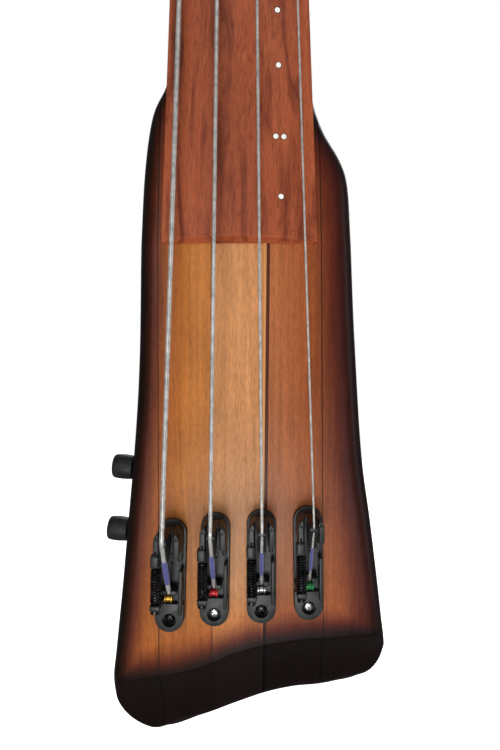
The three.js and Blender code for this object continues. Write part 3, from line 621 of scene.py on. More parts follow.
def sawn(piece, side, keep_core, gap=0.0):
    """Bisects along the core's side and keeps the part inside it or outside it."""
    edit(piece)
    bpy.ops.mesh.select_all(action="SELECT")
    bpy.ops.mesh.bisect(
        plane_co=(side * (CORE_HALF + gap), 0, BOARD_END), plane_no=(side, 0, CORE_FLARE),
        use_fill=True, clear_outer=keep_core, clear_inner=not keep_core,
    )
    done()


core = copy_of(blank, "core")
for side in (-1, 1):
    sawn(core, side, True)
carve(core, neck, "UNION")
for seat in (cover_seat, plate_seat, cavity, jack_well):
    carve(core, copy_of(seat, "cutter"))
for bridge in "eadg":
    screw_low, screw_high = (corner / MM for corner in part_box(f"bridge_fixing_screw_{bridge}"))
    sx, sz = (screw_low.x + screw_high.x) / 2, (screw_low.z + screw_high.z) / 2
    carve(core, bar("screw_way", 2.3, (sx, screw_low.y, sz), (sx, screw_high.y + 0.5, sz), 20))
clad(core, burst, 32, True)
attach(core, "instrument")
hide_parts("neck_through_core")

# ---------- Wings ----------
# Two shaped planks glued to the core's sides, of the same wood under the same lacquer.
for name, side in (("bass_wing", -1), ("treble_wing", 1)):
    wing = copy_of(blank, f"{name}_plank")
    sawn(wing, side, False, WING_GAP)
    if side < 0:
        for seat in (cover_seat, cavity, *shaft_ways):
            carve(wing, copy_of(seat, "cutter"))
    clad(wing, burst, 32, True)
    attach(wing, "instrument")
    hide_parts(name)
for spent in (blank, cover_seat, plate_seat, cavity, jack_well, *shaft_ways):
    bpy.data.objects.remove(spent)

# ---------- Fingerboard ----------
# A thick rosewood board, unfretted, glued on the neck, its top arched and its end a shallow arc.
# Small round shell dots, each in a dark ring, mark the places near its treble edge.
BOARD_THICK, BOARD_RADIUS, END_BOW, BOW_LENGTH = 7.1, 305, 2, 235.7
EDGE_EASE = 0.7


def board_top(half):
    return BOARD_THICK - (BOARD_RADIUS - math.sqrt(BOARD_RADIUS**2 - half**2))


board_rings = []
for height in [0, 0.5, 3, 60, BOW_LENGTH, 471.3, 600, BOARD_LENGTH - 0.3]:
    half = board_half(height)
    eased = 0.5 if height == 0 else 0.0
    bow = END_BOW * max(0, 1 - height / BOW_LENGTH)
    ring = [(half - eased, 0.3), (half - eased, board_top(half) - EDGE_EASE)]
    for i in range(4):
        turn = math.radians(22.5 * (i + 1))
        reach = half - eased - EDGE_EASE * (1 - math.cos(turn))
        ring.append((reach, board_top(half) - eased - EDGE_EASE * (1 - math.sin(turn))))
    for i in range(1, 24):
        spot = (half - eased - EDGE_EASE) * (1 - i / 12)
        ring.append((spot, board_top(abs(spot)) - eased))
    ring += [(-a, b) for a, b in reversed(ring[:6])]
    board_rings.append([
        neck_frame @ (Vector((a, -b, height + bow * (1 - (a / half) ** 2))) * MM) for a, b in ring
    ])
board = loft("fingerboard_plank", board_rings)
soften(board, 30, True)

rosewood, tree, shader = finish("oiled_rosewood", 0.5, specular=0.25)
flames = speckle(tree, 95, (1, 1, 0.035), 5, twist=0.9)
wood = ramp(tree, flames, [
    (0.30, tone(92, 40, 24)), (0.42, tone(128, 60, 34)), (0.52, tone(156, 80, 48)),
    (0.62, tone(146, 70, 40)), (0.75, tone(176, 98, 60)),
])
pores = ramp(tree, speckle(tree, 1500, (1, 1, 0.03), 2), [(0.36, (0.62, 0.56, 0.54)), (0.5, (1, 1, 1))])
wood = blended(tree, 0.8, wood, pores, "MULTIPLY")
band = speckle(tree, 30, (1, 1, 0.02), 2)
band = ramp(tree, band, [(0.35, (0.78, 0.74, 0.72)), (0.62, (1.08, 1.08, 1.08))])
wood = blended(tree, 1.0, wood, band, "MULTIPLY")
tree.links.new(wood, shader.inputs["Base Color"])
roughen(tree, shader, 0.46, 0.07, 1400, 0.00003, (1, 1, 0.05))
board.data.materials.clear()
board.data.materials.append(rosewood)

shell, tree, shader = finish("shell_dot", 0.3, coat=0.3)
milky = ramp(tree, speckle(tree, 900), [(0.35, tone(214, 210, 200)), (0.65, tone(246, 244, 238))])
tree.links.new(milky, shader.inputs["Base Color"])
roughen(tree, shader, 0.3, 0.05, 900, 0.000005)
ring_black, tree, shader = finish("dot_ring", 0.5)
sooty = ramp(tree, speckle(tree, 900), [(0.35, tone(40, 20, 14)), (0.65, tone(58, 30, 20))])
tree.links.new(sooty, shader.inputs["Base Color"])
roughen(tree, shader, 0.5, 0.05, 900, 0.000005)

DOT_RADIUS, DOT_RING = 1.5, 1.9
DOT_X, PAIR_PITCH = 24.5, 4.9
SINGLES = (24.6, 99.9, 131.35, 206, 293, 402, 465, 539)
PAIRS = (59.0, 247.5)
dots = [(DOT_X, height) for height in SINGLES]
dots += [(DOT_X + side * PAIR_PITCH / 2, height) for height in PAIRS for side in (-1, 1)]
inlays = []
for dx, height in dots:
    share = board_half(height) / board_half(0)
    dx = dx * share
    top = board_top(abs(dx))
    lying = neck_frame @ Matrix.Translation((dx * MM, -top * MM, height * MM)) \
        @ Matrix.Rotation(math.asin(dx / BOARD_RADIUS), 4, "Z")
    for radius, proud, look in ((DOT_RING, 0.03, ring_black), (DOT_RADIUS, 0.06, shell)):
        dot = bar("dot", radius, (0, 1, 0), (0, -proud, 0), 28, lying)
        dot.data.materials.append(look)
        inlays.append(dot)
alone(board)
for dot in inlays:
    dot.select_set(True)
bpy.ops.object.join()
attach(board, "instrument")
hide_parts("fingerboard")

# ---------- Bridge bases ----------
# Four single-string bridges in satin black metal. Each base is a long plate with round ends: a raised
# tail end with a well for its fixing screw, an upright lug for the intonation screw, a slotted anchor
# for the string's ball, and a low guide rail. One is modelled, and each string gets a copy.
BASE_WIDTH, BASE_LENGTH, BASE_THICK = 18.2, 71.5, 4
DECK_FRONT, DECK_HEIGHT = -17, 7.5
FIXING_Z = -27.9
SCREW_X, SCREW_HEIGHT = -5.9, 22
LUG_BACK, LUG_FRONT = -13.5, -10.5
CARRIAGE_BACK, CARRIAGE_FRONT = 19, 34
STRING_NAMES = ("e", "a", "d", "g")


def bridge_frame(name):
    """The base's middle on the body's face, with +Z up the string and -Y out of the body."""
    low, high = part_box(f"bridge_base_{name}")
    along = Vector(joints[f"carriage_{name}_slide"]["axis"])
    return Matrix.Translation(((low.x + high.x) / 2, face_y, (low.z + high.z) / 2)) \
        @ Matrix.Rotation(math.atan2(along.x, along.z), 4, "Y")


def up(name, x0, x1, h0, h1, z0, z1):
    """A block in a bridge's frame, with heights over the body's face."""
    return block(name, (x0, -h1, z0), (x1, -h0, z1))


def ease(piece, width, segments=2, angle=35):
    """Breaks a piece's sharp edges."""
    rounding = piece.modifiers.new("ease", "BEVEL")
    rounding.width = width * MM
    rounding.segments = segments
    rounding.limit_method = "ANGLE"
    rounding.angle_limit = math.radians(angle)
    alone(piece)
    bpy.ops.object.modifier_apply(modifier=rounding.name)
    return piece


def pill(name, width, length, h0, h1):
    """A cylinder primitive pulled apart along its middle into a round-ended plate."""
    bpy.ops.mesh.primitive_cylinder_add(
        vertices=48, radius=width / 2 * MM, depth=(h1 - h0) * MM,
        location=(0, -(h0 + h1) / 2 * MM, 0), rotation=(math.pi / 2, 0, 0),
    )
    piece = bpy.context.object
    piece.name = name
    bpy.ops.object.transform_apply(location=True, rotation=True, scale=True)
    piece.data.transform(Matrix.Rotation(math.pi / 48, 4, "Y"))
    edit(piece)
    for side in (-1, 1):
        pick(piece, "VERT", lambda v: v.co.z * side > 0)
        bpy.ops.transform.translate(value=(0, 0, side * (length - width) / 2 * MM))
        pick(piece, "VERT", lambda v: False)
    done()
    return piece


def joined(first, *others):
    for other in others:
        carve(first, other, "UNION")
    return first


def placed(model, name, matrix, body, slot, looks, *nodes):
    """A finished copy of a model, where it belongs."""
    piece = copy_of(model, name, matrix)
    soften(piece, 34)
    piece.data.materials.clear()
    for look in looks if isinstance(looks, tuple) else (looks,):
        piece.data.materials.append(look)
    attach(piece, body)
    if nodes:
        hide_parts(*nodes)
    return piece


def worn_metal(name, colour, worn, roughness, metallic):
    """Plated or painted metal: a fine orange-peel skin, with paler rubbed patches."""
    material, tree, shader = finish(name, roughness, metallic, specular=0.35)
    rubbed = ramp(tree, speckle(tree, 160, detail=5), [(0.42, colour), (0.74, worn)])
    tree.links.new(rubbed, shader.inputs["Base Color"])
    roughen(tree, shader, roughness, 0.07, 1800, 0.000012)
    return material


satin_black = worn_metal("satin_black_metal", tone(30, 32, 31), tone(48, 51, 50), 0.42, 0.1)

base = ease(pill("bridge_base", BASE_WIDTH, BASE_LENGTH, 0.3, BASE_THICK), 0.5, 3)
tail_end = pill("tail_end", BASE_WIDTH - 0.3, BASE_LENGTH - 0.3, 2, DECK_HEIGHT)
carve(tail_end, up("cutter", -20, 20, -5, 30, DECK_FRONT, 60))
ease(tail_end, 0.5, 3)
lug = ease(up("lug", -8.7, -2.7, 3, 25.2, LUG_BACK, LUG_FRONT), 0.5, 3)
anchor = ease(up("anchor", -5, 5, 3, 13.5, -9, -6), 0.6, 3)
carve(anchor, up("slot", -1.6, 1.6, 8.5, 20, -12, -3))
rail = ease(up("rail", 5.9, 8.1, 3, 12.3, -22, 6), 0.6, 3)
for end in (-1, 1):
    recess = up("recess", 4, 10, 6.4, 10.6, -8 + 10 * end - 3, -8 + 10 * end + 3)
    carve(rail, ease(recess, 0.8, 3))
base = joined(base, tail_end, lug, anchor, rail)
carve(base, bar("screw_way", 1.8, (SCREW_X, -SCREW_HEIGHT, -20), (SCREW_X, -SCREW_HEIGHT, -5), 24))
carve(base, bar("well", 4.4, (0, -20, FIXING_Z), (0, -BASE_THICK + 0.2, FIXING_Z), 40))
carve(base, bar("screw_way", 2.3, (0, -20, FIXING_Z), (0, 5, FIXING_Z), 24))
for spot in (8, 14):
    carve(base, bar("peg_hole", 0.9, (0.6, -20, spot), (0.6, -2.6, spot), 16))
for name in STRING_NAMES:
    placed(base, f"base_{name}", bridge_frame(name), "instrument", "black_metal", satin_black,
           f"bridge_base_{name}")
bpy.data.objects.remove(base)

# ---------- Bridge carriages ----------
# The block that slides along the base: round at its neck end, open down the middle where the saddle
# stands, with a threaded boss for the intonation screw and two small grub screws that clamp the saddle.
CARRIAGE_HALF, CARRIAGE_TOP, CARRIAGE_FOOT = 7.55, 23.7, 4.3
NOSE = 6.2
carriage = up("carriage", -CARRIAGE_HALF, CARRIAGE_HALF, CARRIAGE_FOOT, CARRIAGE_TOP,
              CARRIAGE_BACK, CARRIAGE_FRONT)
edit(carriage)
pick(carriage, "EDGE", lambda e: all(v.co.z > 30 * MM for v in e.verts)
     and abs(e.verts[0].co.x - e.verts[1].co.x) < MM)
bpy.ops.mesh.bevel(offset=NOSE * MM, segments=10, clamp_overlap=False)
done()
ease(carriage, 0.55, 3)
carve(carriage, up("channel", -3.5, 3.5, 9, 40, 10, 45))
entry = loft("entry", [
    [Vector((sx * MM, -h * MM, z * MM)) for sx, h in ((-w, 25), (w, 25), (w - 1.6, 20.5), (1.6 - w, 20.5))]
    for z, w in ((16, 5.2), (40, 5.2))
])
carve(carriage, entry)
joined(carriage, ease(up("boss", -8.9, -3.7, 19, 25, 12, 20), 1.3, 4))
joined(carriage, ease(up("heel", 4.6, 7.4, CARRIAGE_FOOT, 9.4, 10.6, 20), 0.7, 3))
carve(carriage, bar("thread", 1.8, (SCREW_X, -SCREW_HEIGHT, 0), (SCREW_X, -SCREW_HEIGHT, 22), 24))
GRUB_X, GRUB_Z = 5.5, 29.6
for side in (-1, 1):
    carve(carriage, bar("grub_hole", 1.25, (side * GRUB_X, -30, GRUB_Z), (side * GRUB_X, -18, GRUB_Z), 24))
for side in (-1, 1):
    grub = bar("grub", 1.15, (side * GRUB_X, -23, GRUB_Z), (side * GRUB_X, -17, GRUB_Z), 20)
    carve(grub, bar("hex", 0.6, (side * GRUB_X, -24, GRUB_Z), (side * GRUB_X, -21.8, GRUB_Z), 6))
    joined(carriage, grub)
for name in STRING_NAMES:
    placed(carriage, f"carriage_block_{name}", bridge_frame(name), f"carriage_{name}", "black_metal",
           satin_black, f"bridge_carriage_{name}")
bpy.data.objects.remove(carriage)

# ---------- Saddles ----------
# A thin moulded blade in the carriage's channel: a square foot, a rounded and grooved crest that the
# string bends over, and a tail that runs down under the string behind it.
STRINGS = {"e": (1.35, 36.9), "a": (1.1, 38.6), "d": (0.85, 38.6), "g": (0.6, 36.9)}
BALL = (10.5, -8.3)
CREST_Z = 31.6
TAIL_SHARE = 0.66


def local(h, z, sx=0.0):
    return Vector((sx, -h, z)) * MM


def swept(name, path, radius, sides):
    """A round section carried along a path without twist; the radius may change along it."""
    radii = radius if isinstance(radius, list) else [radius] * len(path)
    rings, side = [], None
    for i, spot in enumerate(path):
        run = (path[min(i + 1, len(path) - 1)] - path[max(i - 1, 0)]).normalized()
        side = run.orthogonal() if side is None else side - run * side.dot(run)
        side = side.normalized()
        other = run.cross(side)
        rings.append([
            spot + (side * math.cos(a) + other * math.sin(a)) * radii[i]
            for a in (2 * math.pi * k / sides for k in range(sides))
        ])
    return loft(name, rings)


def over_the_crest(crest):
    """The string's middle line at its bridge: up from the ball, round the crest, on towards the nut."""
    start, top = local(*BALL), local(crest, CREST_Z)
    before = start.lerp(top, 0.93)
    after = top + Vector((0, math.sin(TILT), 1)) * 3 * MM
    bend = [before.lerp(top, t).lerp(top.lerp(after, t), t) for t in (0, 0.2, 0.4, 0.6, 0.8, 1)]
    return start, bend, after


moulded = worn_metal("moulded_saddle", tone(19, 19, 20), tone(30, 30, 32), 0.42, 0.1)
for name, (radius, crest) in STRINGS.items():
    start, bend, after = over_the_crest(crest)
    under = start.lerp(local(crest, CREST_Z), TAIL_SHARE) / MM
    foot = ease(up("foot", -3.2, 3.2, 12.3, 20.7, 29.1, 34.1), 0.4, 2)
    profile = [
        (19.7, 34.1), (crest - 5, 34.1), (crest - 1, 33.4), (crest + 0.2, 32.2), (crest + 0.2, 30.9),
        (crest - 0.6, 29.9), (-under.y, under.z), (-under.y - 4, under.z + 0.4), (19.7, 29.1),
    ]
    blade = loft("blade", [[local(h, z, side * 2.5) for h, z in profile] for side in (-1, 1)])
    ease(blade, 0.45, 3, 50)
    joined(foot, blade)
    groove = [start - (bend[0] - start) * 0.1, *bend, after + (after - bend[-1]) + local(0.4, 3)]
    carve(foot, swept("groove", groove, (radius + 0.04) * MM, 16))
    placed(foot, f"saddle_blade_{name}", bridge_frame(name), f"saddle_{name}", "saddle_black", moulded,
           f"bridge_saddle_{name}")
    bpy.data.objects.remove(foot)

# ---------- Intonation screws and springs ----------
# A long fine-threaded screw with a slotted head runs through the lug to the carriage's boss, and a
# coiled wire spring round it, between the two, takes up the play.


def turned(name, profile, matrix, sides=32):
    """A lathe piece along +Z of its frame; each profile point is a radius and a station, in millimetres."""
    rings = []
    for radius, station in profile:
        rings.append([
            matrix @ Vector((radius * math.cos(a) * MM, radius * math.sin(a) * MM, station * MM))
            for a in (2 * math.pi * k / sides for k in range(sides))
        ])
    return loft(name, rings)


screw_frame = Matrix.Translation(local(SCREW_HEIGHT, 0, SCREW_X))
THREAD_PITCH = 0.7
thread = [(1.5 if k % 2 else 1.22, -13.8 + 0.2 + k * THREAD_PITCH / 2) for k in range(99)]
screw = turned("screw", [
    (2.1, -16.2), (2.45, -16.05), (2.6, -15.7), (2.6, -14.1), (2.45, -13.8), (1.22, -13.8),
    *thread, (0.9, 21),
], screw_frame, 20)
carve(screw, up("slot", SCREW_X - 0.35, SCREW_X + 0.35, 15, 30, -17, -15.3))
SPRING_BACK, SPRING_FRONT, COILS = -10.2, 11.7, 13
WIRE = 0.55
coil_run = []
for k in range(COILS * 16 + 1):
    turn = 2 * math.pi * k / 16
    share = k / (COILS * 16)
    place = Vector((2.5 * math.cos(turn), 2.5 * math.sin(turn),
                    SPRING_BACK + WIRE + (SPRING_FRONT - SPRING_BACK - 2 * WIRE) * share)) * MM
    coil_run.append(screw_frame @ place)
spring = swept("spring", coil_run, WIRE * MM, 8)
spring_wire = worn_metal("black_spring_wire", tone(22, 22, 24), tone(74, 74, 78), 0.28, 0.85)
for name in STRING_NAMES:
    placed(screw, f"long_screw_{name}", bridge_frame(name), f"screw_{name}", "black_metal", spring_wire,
           f"intonation_screw_{name}")
    placed(spring, f"coil_spring_{name}", bridge_frame(name), "instrument", "black_metal", spring_wire,
           f"intonation_spring_{name}")
for model in (screw, spring):
    bpy.data.objects.remove(model)

# ---------- Fixing screws ----------
# One round-headed wood screw with a cross recess holds the tail end of each base. Two are bright and
# two are blacked, as the fitter had them.
fixing = turned("fixing", [
    (1.2, 0), (2.0, 3), (2.0, 22.5), (2.0, 25.4), (3.4, 25.7), (3.4, 26.3), (3.1, 27), (2.5, 27.5),
    (1.4, 27.7),
], Matrix.Translation(local(-21.4, FIXING_Z)) @ Matrix.Rotation(math.pi / 2, 4, "X"), 36)
for turn in (40, 130):
    blade_turn = Matrix.Translation(local(0, FIXING_Z)) @ Matrix.Rotation(math.radians(turn), 4, "Y")
    carve(fixing, block("cross", (-0.42, -7, -1.9), (0.42, -5.1, 1.9), blade_turn))
bright = worn_metal("bright_steel", tone(176, 176, 178), tone(214, 214, 214), 0.26, 1.0)
for name in STRING_NAMES:
    placed(fixing, f"wood_screw_{name}", bridge_frame(name), "instrument", "steel",
           bright if name in "ag" else spring_wire, f"bridge_fixing_screw_{name}")
bpy.data.objects.remove(fixing)

# ---------- Ball ends ----------
# The little drum at each string's end, held behind the anchor's slot, enamelled in its maker's
# colour code, with a hole through it.
ball = turned("ball", [
    (1.0, -2.5), (2.4, -2.5), (2.6, -2.3), (2.6, -1.5), (2.15, -1.0), (2.15, 1.0), (2.6, 1.5), (2.6, 2.3),
    (2.4, 2.5), (1.0, 2.5),
], Matrix.Translation(local(10.5, -11.9)) @ Matrix.Rotation(math.pi / 2, 4, "Y"), 28)
carve(ball, bar("eye", 0.8, (-4, -10.5, -11.9), (4, -10.5, -11.9), 16))
ENAMELS = {"e": (tone(206, 158, 60), 0.9), "a": (tone(176, 22, 30), 0.25), "d": (tone(190, 190, 190), 0.95),
           "g": (tone(30, 120, 60), 0.25)}
for name, (colour, metallic) in ENAMELS.items():
    darker = (*[c * 0.6 for c in colour[:3]], 1)
    placed(ball, f"ball_{name}", bridge_frame(name), "instrument", "brass",
           worn_metal(f"ball_enamel_{name}", darker, colour, 0.3, metallic), f"ball_end_{name}")
bpy.data.objects.remove(ball)

# ---------- Strings ----------
# Four flat-wound strings run from the ball, over the crest and the nut, to the tuner's post, where
# each makes two and a half turns. The bare end is twisted back on itself, then bound in violet silk.
POST_FACE = 12
TURNS = 2.5
STEPS = 20
NUT_SPREAD = 30.6
STRING_OVER_NUT = 1.9

wound, tree, shader = finish("wound_steel", 0.42, 0.55)
tint = ramp(tree, speckle(tree, 240, detail=5), [(0.35, tone(158, 156, 152)), (0.65, tone(206, 204, 200))])
tree.links.new(tint, shader.inputs["Base Color"])
RIBS_PER_METRE = 1600
ribs = put(tree, "TexWave", {"bands_direction": "Z"}, Scale=RIBS_PER_METRE / 20,
           Vector=tree.nodes.new("ShaderNodeTexCoord").outputs["Object"])
tree.links.new(put(tree, "Bump", Height=ribs, Strength=0.35, Distance=0.00006), shader.inputs["Normal"])
gloss = put(tree, "MapRange", Value=speckle(tree, 500), To_Min=0.24, To_Max=0.4)
tree.links.new(gloss, shader.inputs["Roughness"])

silk, tree, shader = finish("violet_silk", 0.6, specular=0.4)
threads = speckle(tree, 1500, (1, 1, 2.2), 2)
thread_tone = ramp(tree, threads, [(0.35, tone(26, 26, 82)), (0.65, tone(62, 64, 140))])
tree.links.new(thread_tone, shader.inputs["Base Color"])
shader.inputs["Sheen Weight"].default_value = 0.3
wraps = put(tree, "TexWave", {"bands_direction": "Z"}, Scale=95.0, Distortion=1.5,
            Vector=tree.nodes.new("ShaderNodeTexCoord").outputs["Object"])
tree.links.new(put(tree, "Bump", Height=wraps, Strength=0.6, Distance=0.0001), shader.inputs["Normal"])

for index, (name, (radius, crest)) in enumerate(STRINGS.items()):
    place = bridge_frame(name)
    start, bend, after = over_the_crest(crest)
    nut_x = NUT_SPREAD * (index / 3 - 0.5)
    nut = neck_frame @ (Vector((nut_x, -board_top(abs(nut_x)) - STRING_OVER_NUT, BOARD_LENGTH + 2.5)) * MM)
    side, tuner_z = TUNERS[name]
    reach = POST_RADIUS + 0.3 + radius
    winding = []
    for k in range(int(TURNS * STEPS) + 1):
        turn = 2 * math.pi * k / STEPS
        fall = k / STEPS * (2 * radius + 0.3)
        winding.append(head_frame @ (Vector((
            side * (POST_X - reach * math.cos(turn)), fall - POST_FACE, tuner_z + reach * math.sin(turn)
        )) * MM))
    path = [place @ p for p in (start, start.lerp(bend[0], 0.5), *bend, after)]
    path += [path[-1].lerp(nut, t) for t in (0.25, 0.5, 0.75)] + [nut] + winding
    string = swept(f"wound_string_{name}", path, radius * MM, 16)
    twist_run = []
    for k in range(9 * 12 + 1):
        turn, share = 2 * math.pi * k / 12, 0.02 + 0.2 * k / 108
        spot = start.lerp(bend[0], share)
        ring = Vector((math.cos(turn), -math.sin(turn) * 0.81, math.sin(turn) * 0.58)) * (radius * MM * 0.92)
        twist_run.append(place @ (spot + ring))
    twist = swept("twist", twist_run, 0.32 * MM, 6)
    alone(string)
    twist.select_set(True)
    bpy.ops.object.join()
    clad(string, wound, 40)
    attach(string, "instrument")
    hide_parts(f"string_{name}")

    silk_run = [place @ start.lerp(bend[0], 0.22 + 0.5 * k / 24) for k in range(25)]
    girth = [(radius + 0.3 * min(1, k / 3, (24 - k) / 6) + 0.02) * MM for k in range(25)]
    wrap = swept(f"silk_wrap_{name}", silk_run, girth, 16)
    clad(wrap, silk, 60)
    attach(wrap, "instrument")

# ---------- Knobs ----------
# Volume and tone: two black moulded knobs, slightly barrelled, pushed on the pots' shafts where these
# come out of the bass side, each with a fine pointer cut in its end.
knob_black = worn_metal("knob_black", tone(20, 20, 21), tone(34, 34, 36), 0.5, 0.0)
for control in ("volume", "tone"):
    place, outward = shaft_of(control)
    outward = outward.normalized().to_track_quat("Z", "Y")
    shaft_frame = Matrix.Translation(place) @ outward.to_matrix().to_4x4()
    knob = turned(f"{control}_cap", [
        (3.0, -9), (3.0, 2.0), (7.5, 2.0), (7.8, 2.3), (8.05, 5), (8.2, 8), (8.05, 11), (7.8, 13.2),
        (7.5, 14.2), (6.9, 14.75), (5.9, 14.9), (5.6, 14.7), (5.3, 14.6),
    ], shaft_frame, 64)
    carve(knob, block("pointer", (-0.45, 1.5, 14.2), (0.45, 7.2, 16), shaft_frame))
    clad(knob, knob_black)
    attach(knob, f"{control}_control")
    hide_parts(f"{control}_knob")

# ---------- Tuning machines ----------
# Four open-geared machines: a plate screwed to the headstock's back, a worm with an oval button
# between two ears, and a post with its worm wheel, standing up through the headstock.
HEAD_PLATE = (25, 40, 2.2)
WORM_Y, WORM_DROP = 23.7, 11.2
GEAR_Y0, GEAR_Y1 = 19.3, 24.3
for name, (side, height) in TUNERS.items():
    x = side * POST_X
    wide, tall, thick = HEAD_PLATE
    worm_z = height - WORM_DROP
    housing = ease(block(
        f"tuner_plate_{name}", (x - wide / 2, HEAD_BACK + 0.3, height - tall / 2),
        (x + wide / 2, HEAD_BACK + 0.3 + thick, height + tall / 2), head_frame), 0.6, 3)
    for ear in (-10.5, 10.5):
        joined(housing, ease(block(
            "ear", (x + ear - 1.5, HEAD_BACK + 1, worm_z - 4), (x + ear + 1.5, WORM_Y + 4, worm_z + 4),
            head_frame), 0.9, 3))
    carve(housing, bar("worm_way", 2.9, (x - 20, WORM_Y, worm_z), (x + 20, WORM_Y, worm_z), 28, head_frame))
    carve(housing, bar("post_way", POST_RADIUS + 0.3, (x, 10, height), (x, 30, height), 32, head_frame))
    for sx, sz in ((-9.5, 17), (9.5, 17), (-9.5, -17.5), (9.5, -17.5)):
        top = HEAD_BACK + 0.3 + thick
        screw_head = ease(bar(
            "screw", 1.9, (x + sx, top - 0.5, height + sz), (x + sx, top + 0.9, height + sz), 24,
            head_frame), 0.5, 3)
        carve(screw_head, block("cut", (x + sx - 1.3, top + 0.45, height + sz - 0.25),
                                (x + sx + 1.3, top + 2, height + sz + 0.25), head_frame))
        joined(housing, screw_head)
    clad(housing, satin_black)
    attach(housing, "instrument")
    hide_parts(f"tuner_housing_{name}")

    post_frame = head_frame @ Matrix.Translation((x * MM, 0, height * MM)) \
        @ Matrix.Rotation(-math.pi / 2, 4, "X")
    post = turned(f"string_post_{name}", [
        (2.6, -22), (4.1, -21.9), (4.6, -21.4), (4.6, -18.5), (4.45, -17), (4.45, -4.5), (4.6, -3),
        (4.6, GEAR_Y0), (7.6, GEAR_Y0), (8, GEAR_Y0 + 0.3), (8, GEAR_Y1 - 0.3), (7.6, GEAR_Y1), (2, GEAR_Y1),
    ], post_frame, 48)
    carve(post, block("string_slot", (-0.9, -6, -24), (0.9, 6, -19), post_frame))
    for k in range(20):
        turn = post_frame @ Matrix.Rotation(2 * math.pi * k / 20, 4, "Z")
        carve(post, bar("tooth_gap", 0.55, (8.05, 0, GEAR_Y0 - 1), (8.05, 0, GEAR_Y1 + 1), 10, turn))
    clad(post, spring_wire)
    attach(post, f"post_{name}")
    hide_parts(f"tuner_post_{name}")

    worm_frame = head_frame @ Matrix.Translation((x * MM, WORM_Y * MM, worm_z * MM)) \
        @ Matrix.Rotation(side * math.pi / 2, 4, "Y")
    worm_run = [(2.6 if k % 2 else 2.1, -6.4 + k * 0.8) for k in range(17)]
    button = turned(f"button_{name}", [
        (1.2, -13), (1.7, -12.8), (1.7, -7), *worm_run,
        (2.6, 8), (2.6, 14), (1.8, 15), (1.8, 24), (2.6, 25), (2.6, 30),
    ], worm_frame, 28)
    bpy.ops.mesh.primitive_uv_sphere_add(segments=36, ring_count=20, radius=MM)
    paddle = bpy.context.object
    oval = Matrix.Translation((0, 0, 38 * MM)) @ Matrix.Diagonal((10, 4.5, 12, 1))
    paddle.data.transform(worm_frame @ oval)
    joined(button, paddle)
    clad(button, satin_black, 50)
    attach(button, f"button_{name}")
    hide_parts(f"tuner_button_{name}")

# ---------- Nut and truss rod cover ----------
# The nut is a slotted block of black composite at the board's end. The cover is a small plastic shield
# held over the rod's end by three screws.


def eased_node(name, material, width):
    """A CAD piece whose shape is right: its edges are broken and it takes a finish."""
    node = frame["nodes"][name]
    weld = node.modifiers.new("weld", "WELD")
    weld.merge_threshold = 0.01 * MM
    if width:
        rounding = node.modifiers.new("ease", "BEVEL")
        rounding.width = width * MM
        rounding.segments = 2
        rounding.limit_method = "ANGLE"
        rounding.angle_limit = math.radians(35)
    node.data.materials.clear()
    node.data.materials.append(material)


def freed(node, name):
    """A copy of a CAD piece, off its body and merged at its seams, left in edit mode."""
    twin = copy_of(frame["nodes"][node], name)
    twin.parent = None
    edit(twin)
    bpy.ops.mesh.select_all(action="SELECT")
    bpy.ops.mesh.remove_doubles(threshold=0.01 * MM)
    return twin


eased_node("nut", moulded, 0.4)
cover = freed("truss_rod_cover", "rod_cover")
done()
ease(cover, 0.4, 3)
for sx, sz in ((-5.2, 11), (5.2, 11), (0, 37)):
    joined(cover, ease(bar("screw", 1.3, (sx, -1.2, sz), (sx, -2.3, sz), 20, head_frame), 0.4, 3))
clad(cover, knob_black)
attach(cover, "instrument")
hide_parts("truss_rod_cover")

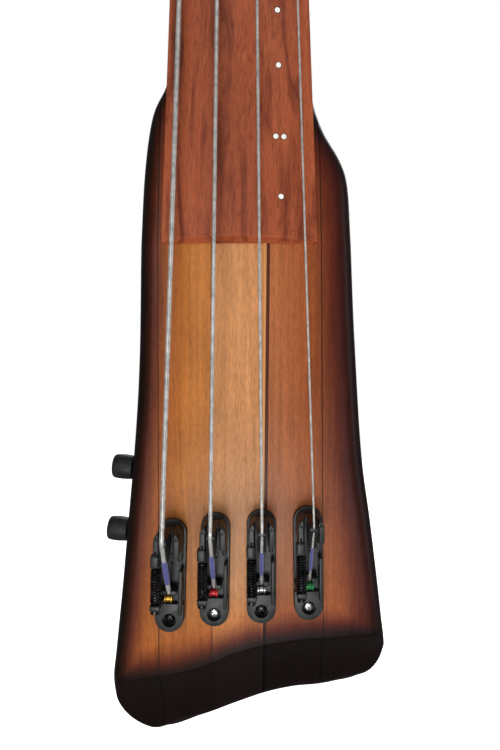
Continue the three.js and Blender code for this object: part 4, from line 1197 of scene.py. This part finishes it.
# ---------- Back: cavity cover, stand plate and output jack ----------
# A black plastic cover sits flush in a ledge on four countersunk screws. The stand bolts to a steel
# plate let into the back, and the jack's nut and washer stand a little proud beside it.
lid = ease(block("back_cover", cavity_low, cavity_high), 0.5, 3)
SCREW_INSET = 3.8
screw_spots = [
    (sx, sz) for sz in (cavity_low.z + SCREW_INSET, cavity_high.z - SCREW_INSET)
    for sx in (cavity_low.x + SCREW_INSET, cavity_high.x - SCREW_INSET)
]
for sx, sz in screw_spots:
    carve(lid, bar("sink", 2.3, (sx, cavity_high.y - 1, sz), (sx, 5, sz), 28))
    cap = ease(bar("screw", 2.1, (sx, cavity_high.y - 1.2, sz), (sx, cavity_high.y - 0.2, sz), 28), 0.3, 2)
    for turn in (0, 90):
        at_screw = Matrix.Translation((sx * MM, cavity_high.y * MM, sz * MM)) \
            @ Matrix.Rotation(math.radians(turn), 4, "Y")
        carve(cap, block("cross", (-1.3, -0.7, -0.25), (1.3, 1, 0.25), at_screw))
    joined(lid, cap)
clad(lid, knob_black)
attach(lid, "instrument")
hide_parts("cavity_cover")

plate = freed("stand_plate", "stand_bracket")
bpy.ops.mesh.dissolve_limited(angle_limit=math.radians(1))
done()
ease(plate, 0.5, 3, 50)
clad(plate, satin_black)
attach(plate, "instrument")
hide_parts("stand_plate")

jack_frame = Matrix.Translation((jack_x * MM, back_y, jack_z * MM)) @ Matrix.Rotation(-math.pi / 2, 4, "X")
socket = turned("jack_socket", [
    (3.3, -27), (7, -27), (7, 0.3), (10.6, 0.3), (11, 0.55), (11, 0.75), (10.6, 1.0), (7.2, 1.0), (7.2, 1.6),
    (6.8, 1.8), (3.9, 1.8), (3.3, 1.3),
], jack_frame, 48)
edit(socket)
pick(socket, "FACE", lambda f: len(f.verts) > 20)
bpy.ops.mesh.delete(type="FACE")
pick(socket, "EDGE", lambda e: len(e.link_faces) == 1)
bpy.ops.mesh.bridge_edge_loops()
done()
clad(socket, bright)
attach(socket, "instrument")
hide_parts("output_jack")

# ---------- Inside the body ----------
# Two pots behind the side wall, a small preamplifier board, its battery, and the steel truss rod.
dull_steel = worn_metal("dull_steel", tone(128, 128, 126), tone(166, 166, 162), 0.42, 1.0)
circuit = worn_metal("circuit_green", tone(18, 66, 38), tone(30, 92, 54), 0.45, 0.0)
cell = worn_metal("battery_wrap", tone(46, 47, 52), tone(70, 70, 76), 0.5, 0.0)
for name, material, width in (
    ("volume_pot", dull_steel, 0), ("tone_pot", dull_steel, 0), ("truss_rod", dull_steel, 0.3),
    ("preamp_board", circuit, 0.2), ("battery", cell, 1.0),
):
    eased_node(name, material, width)
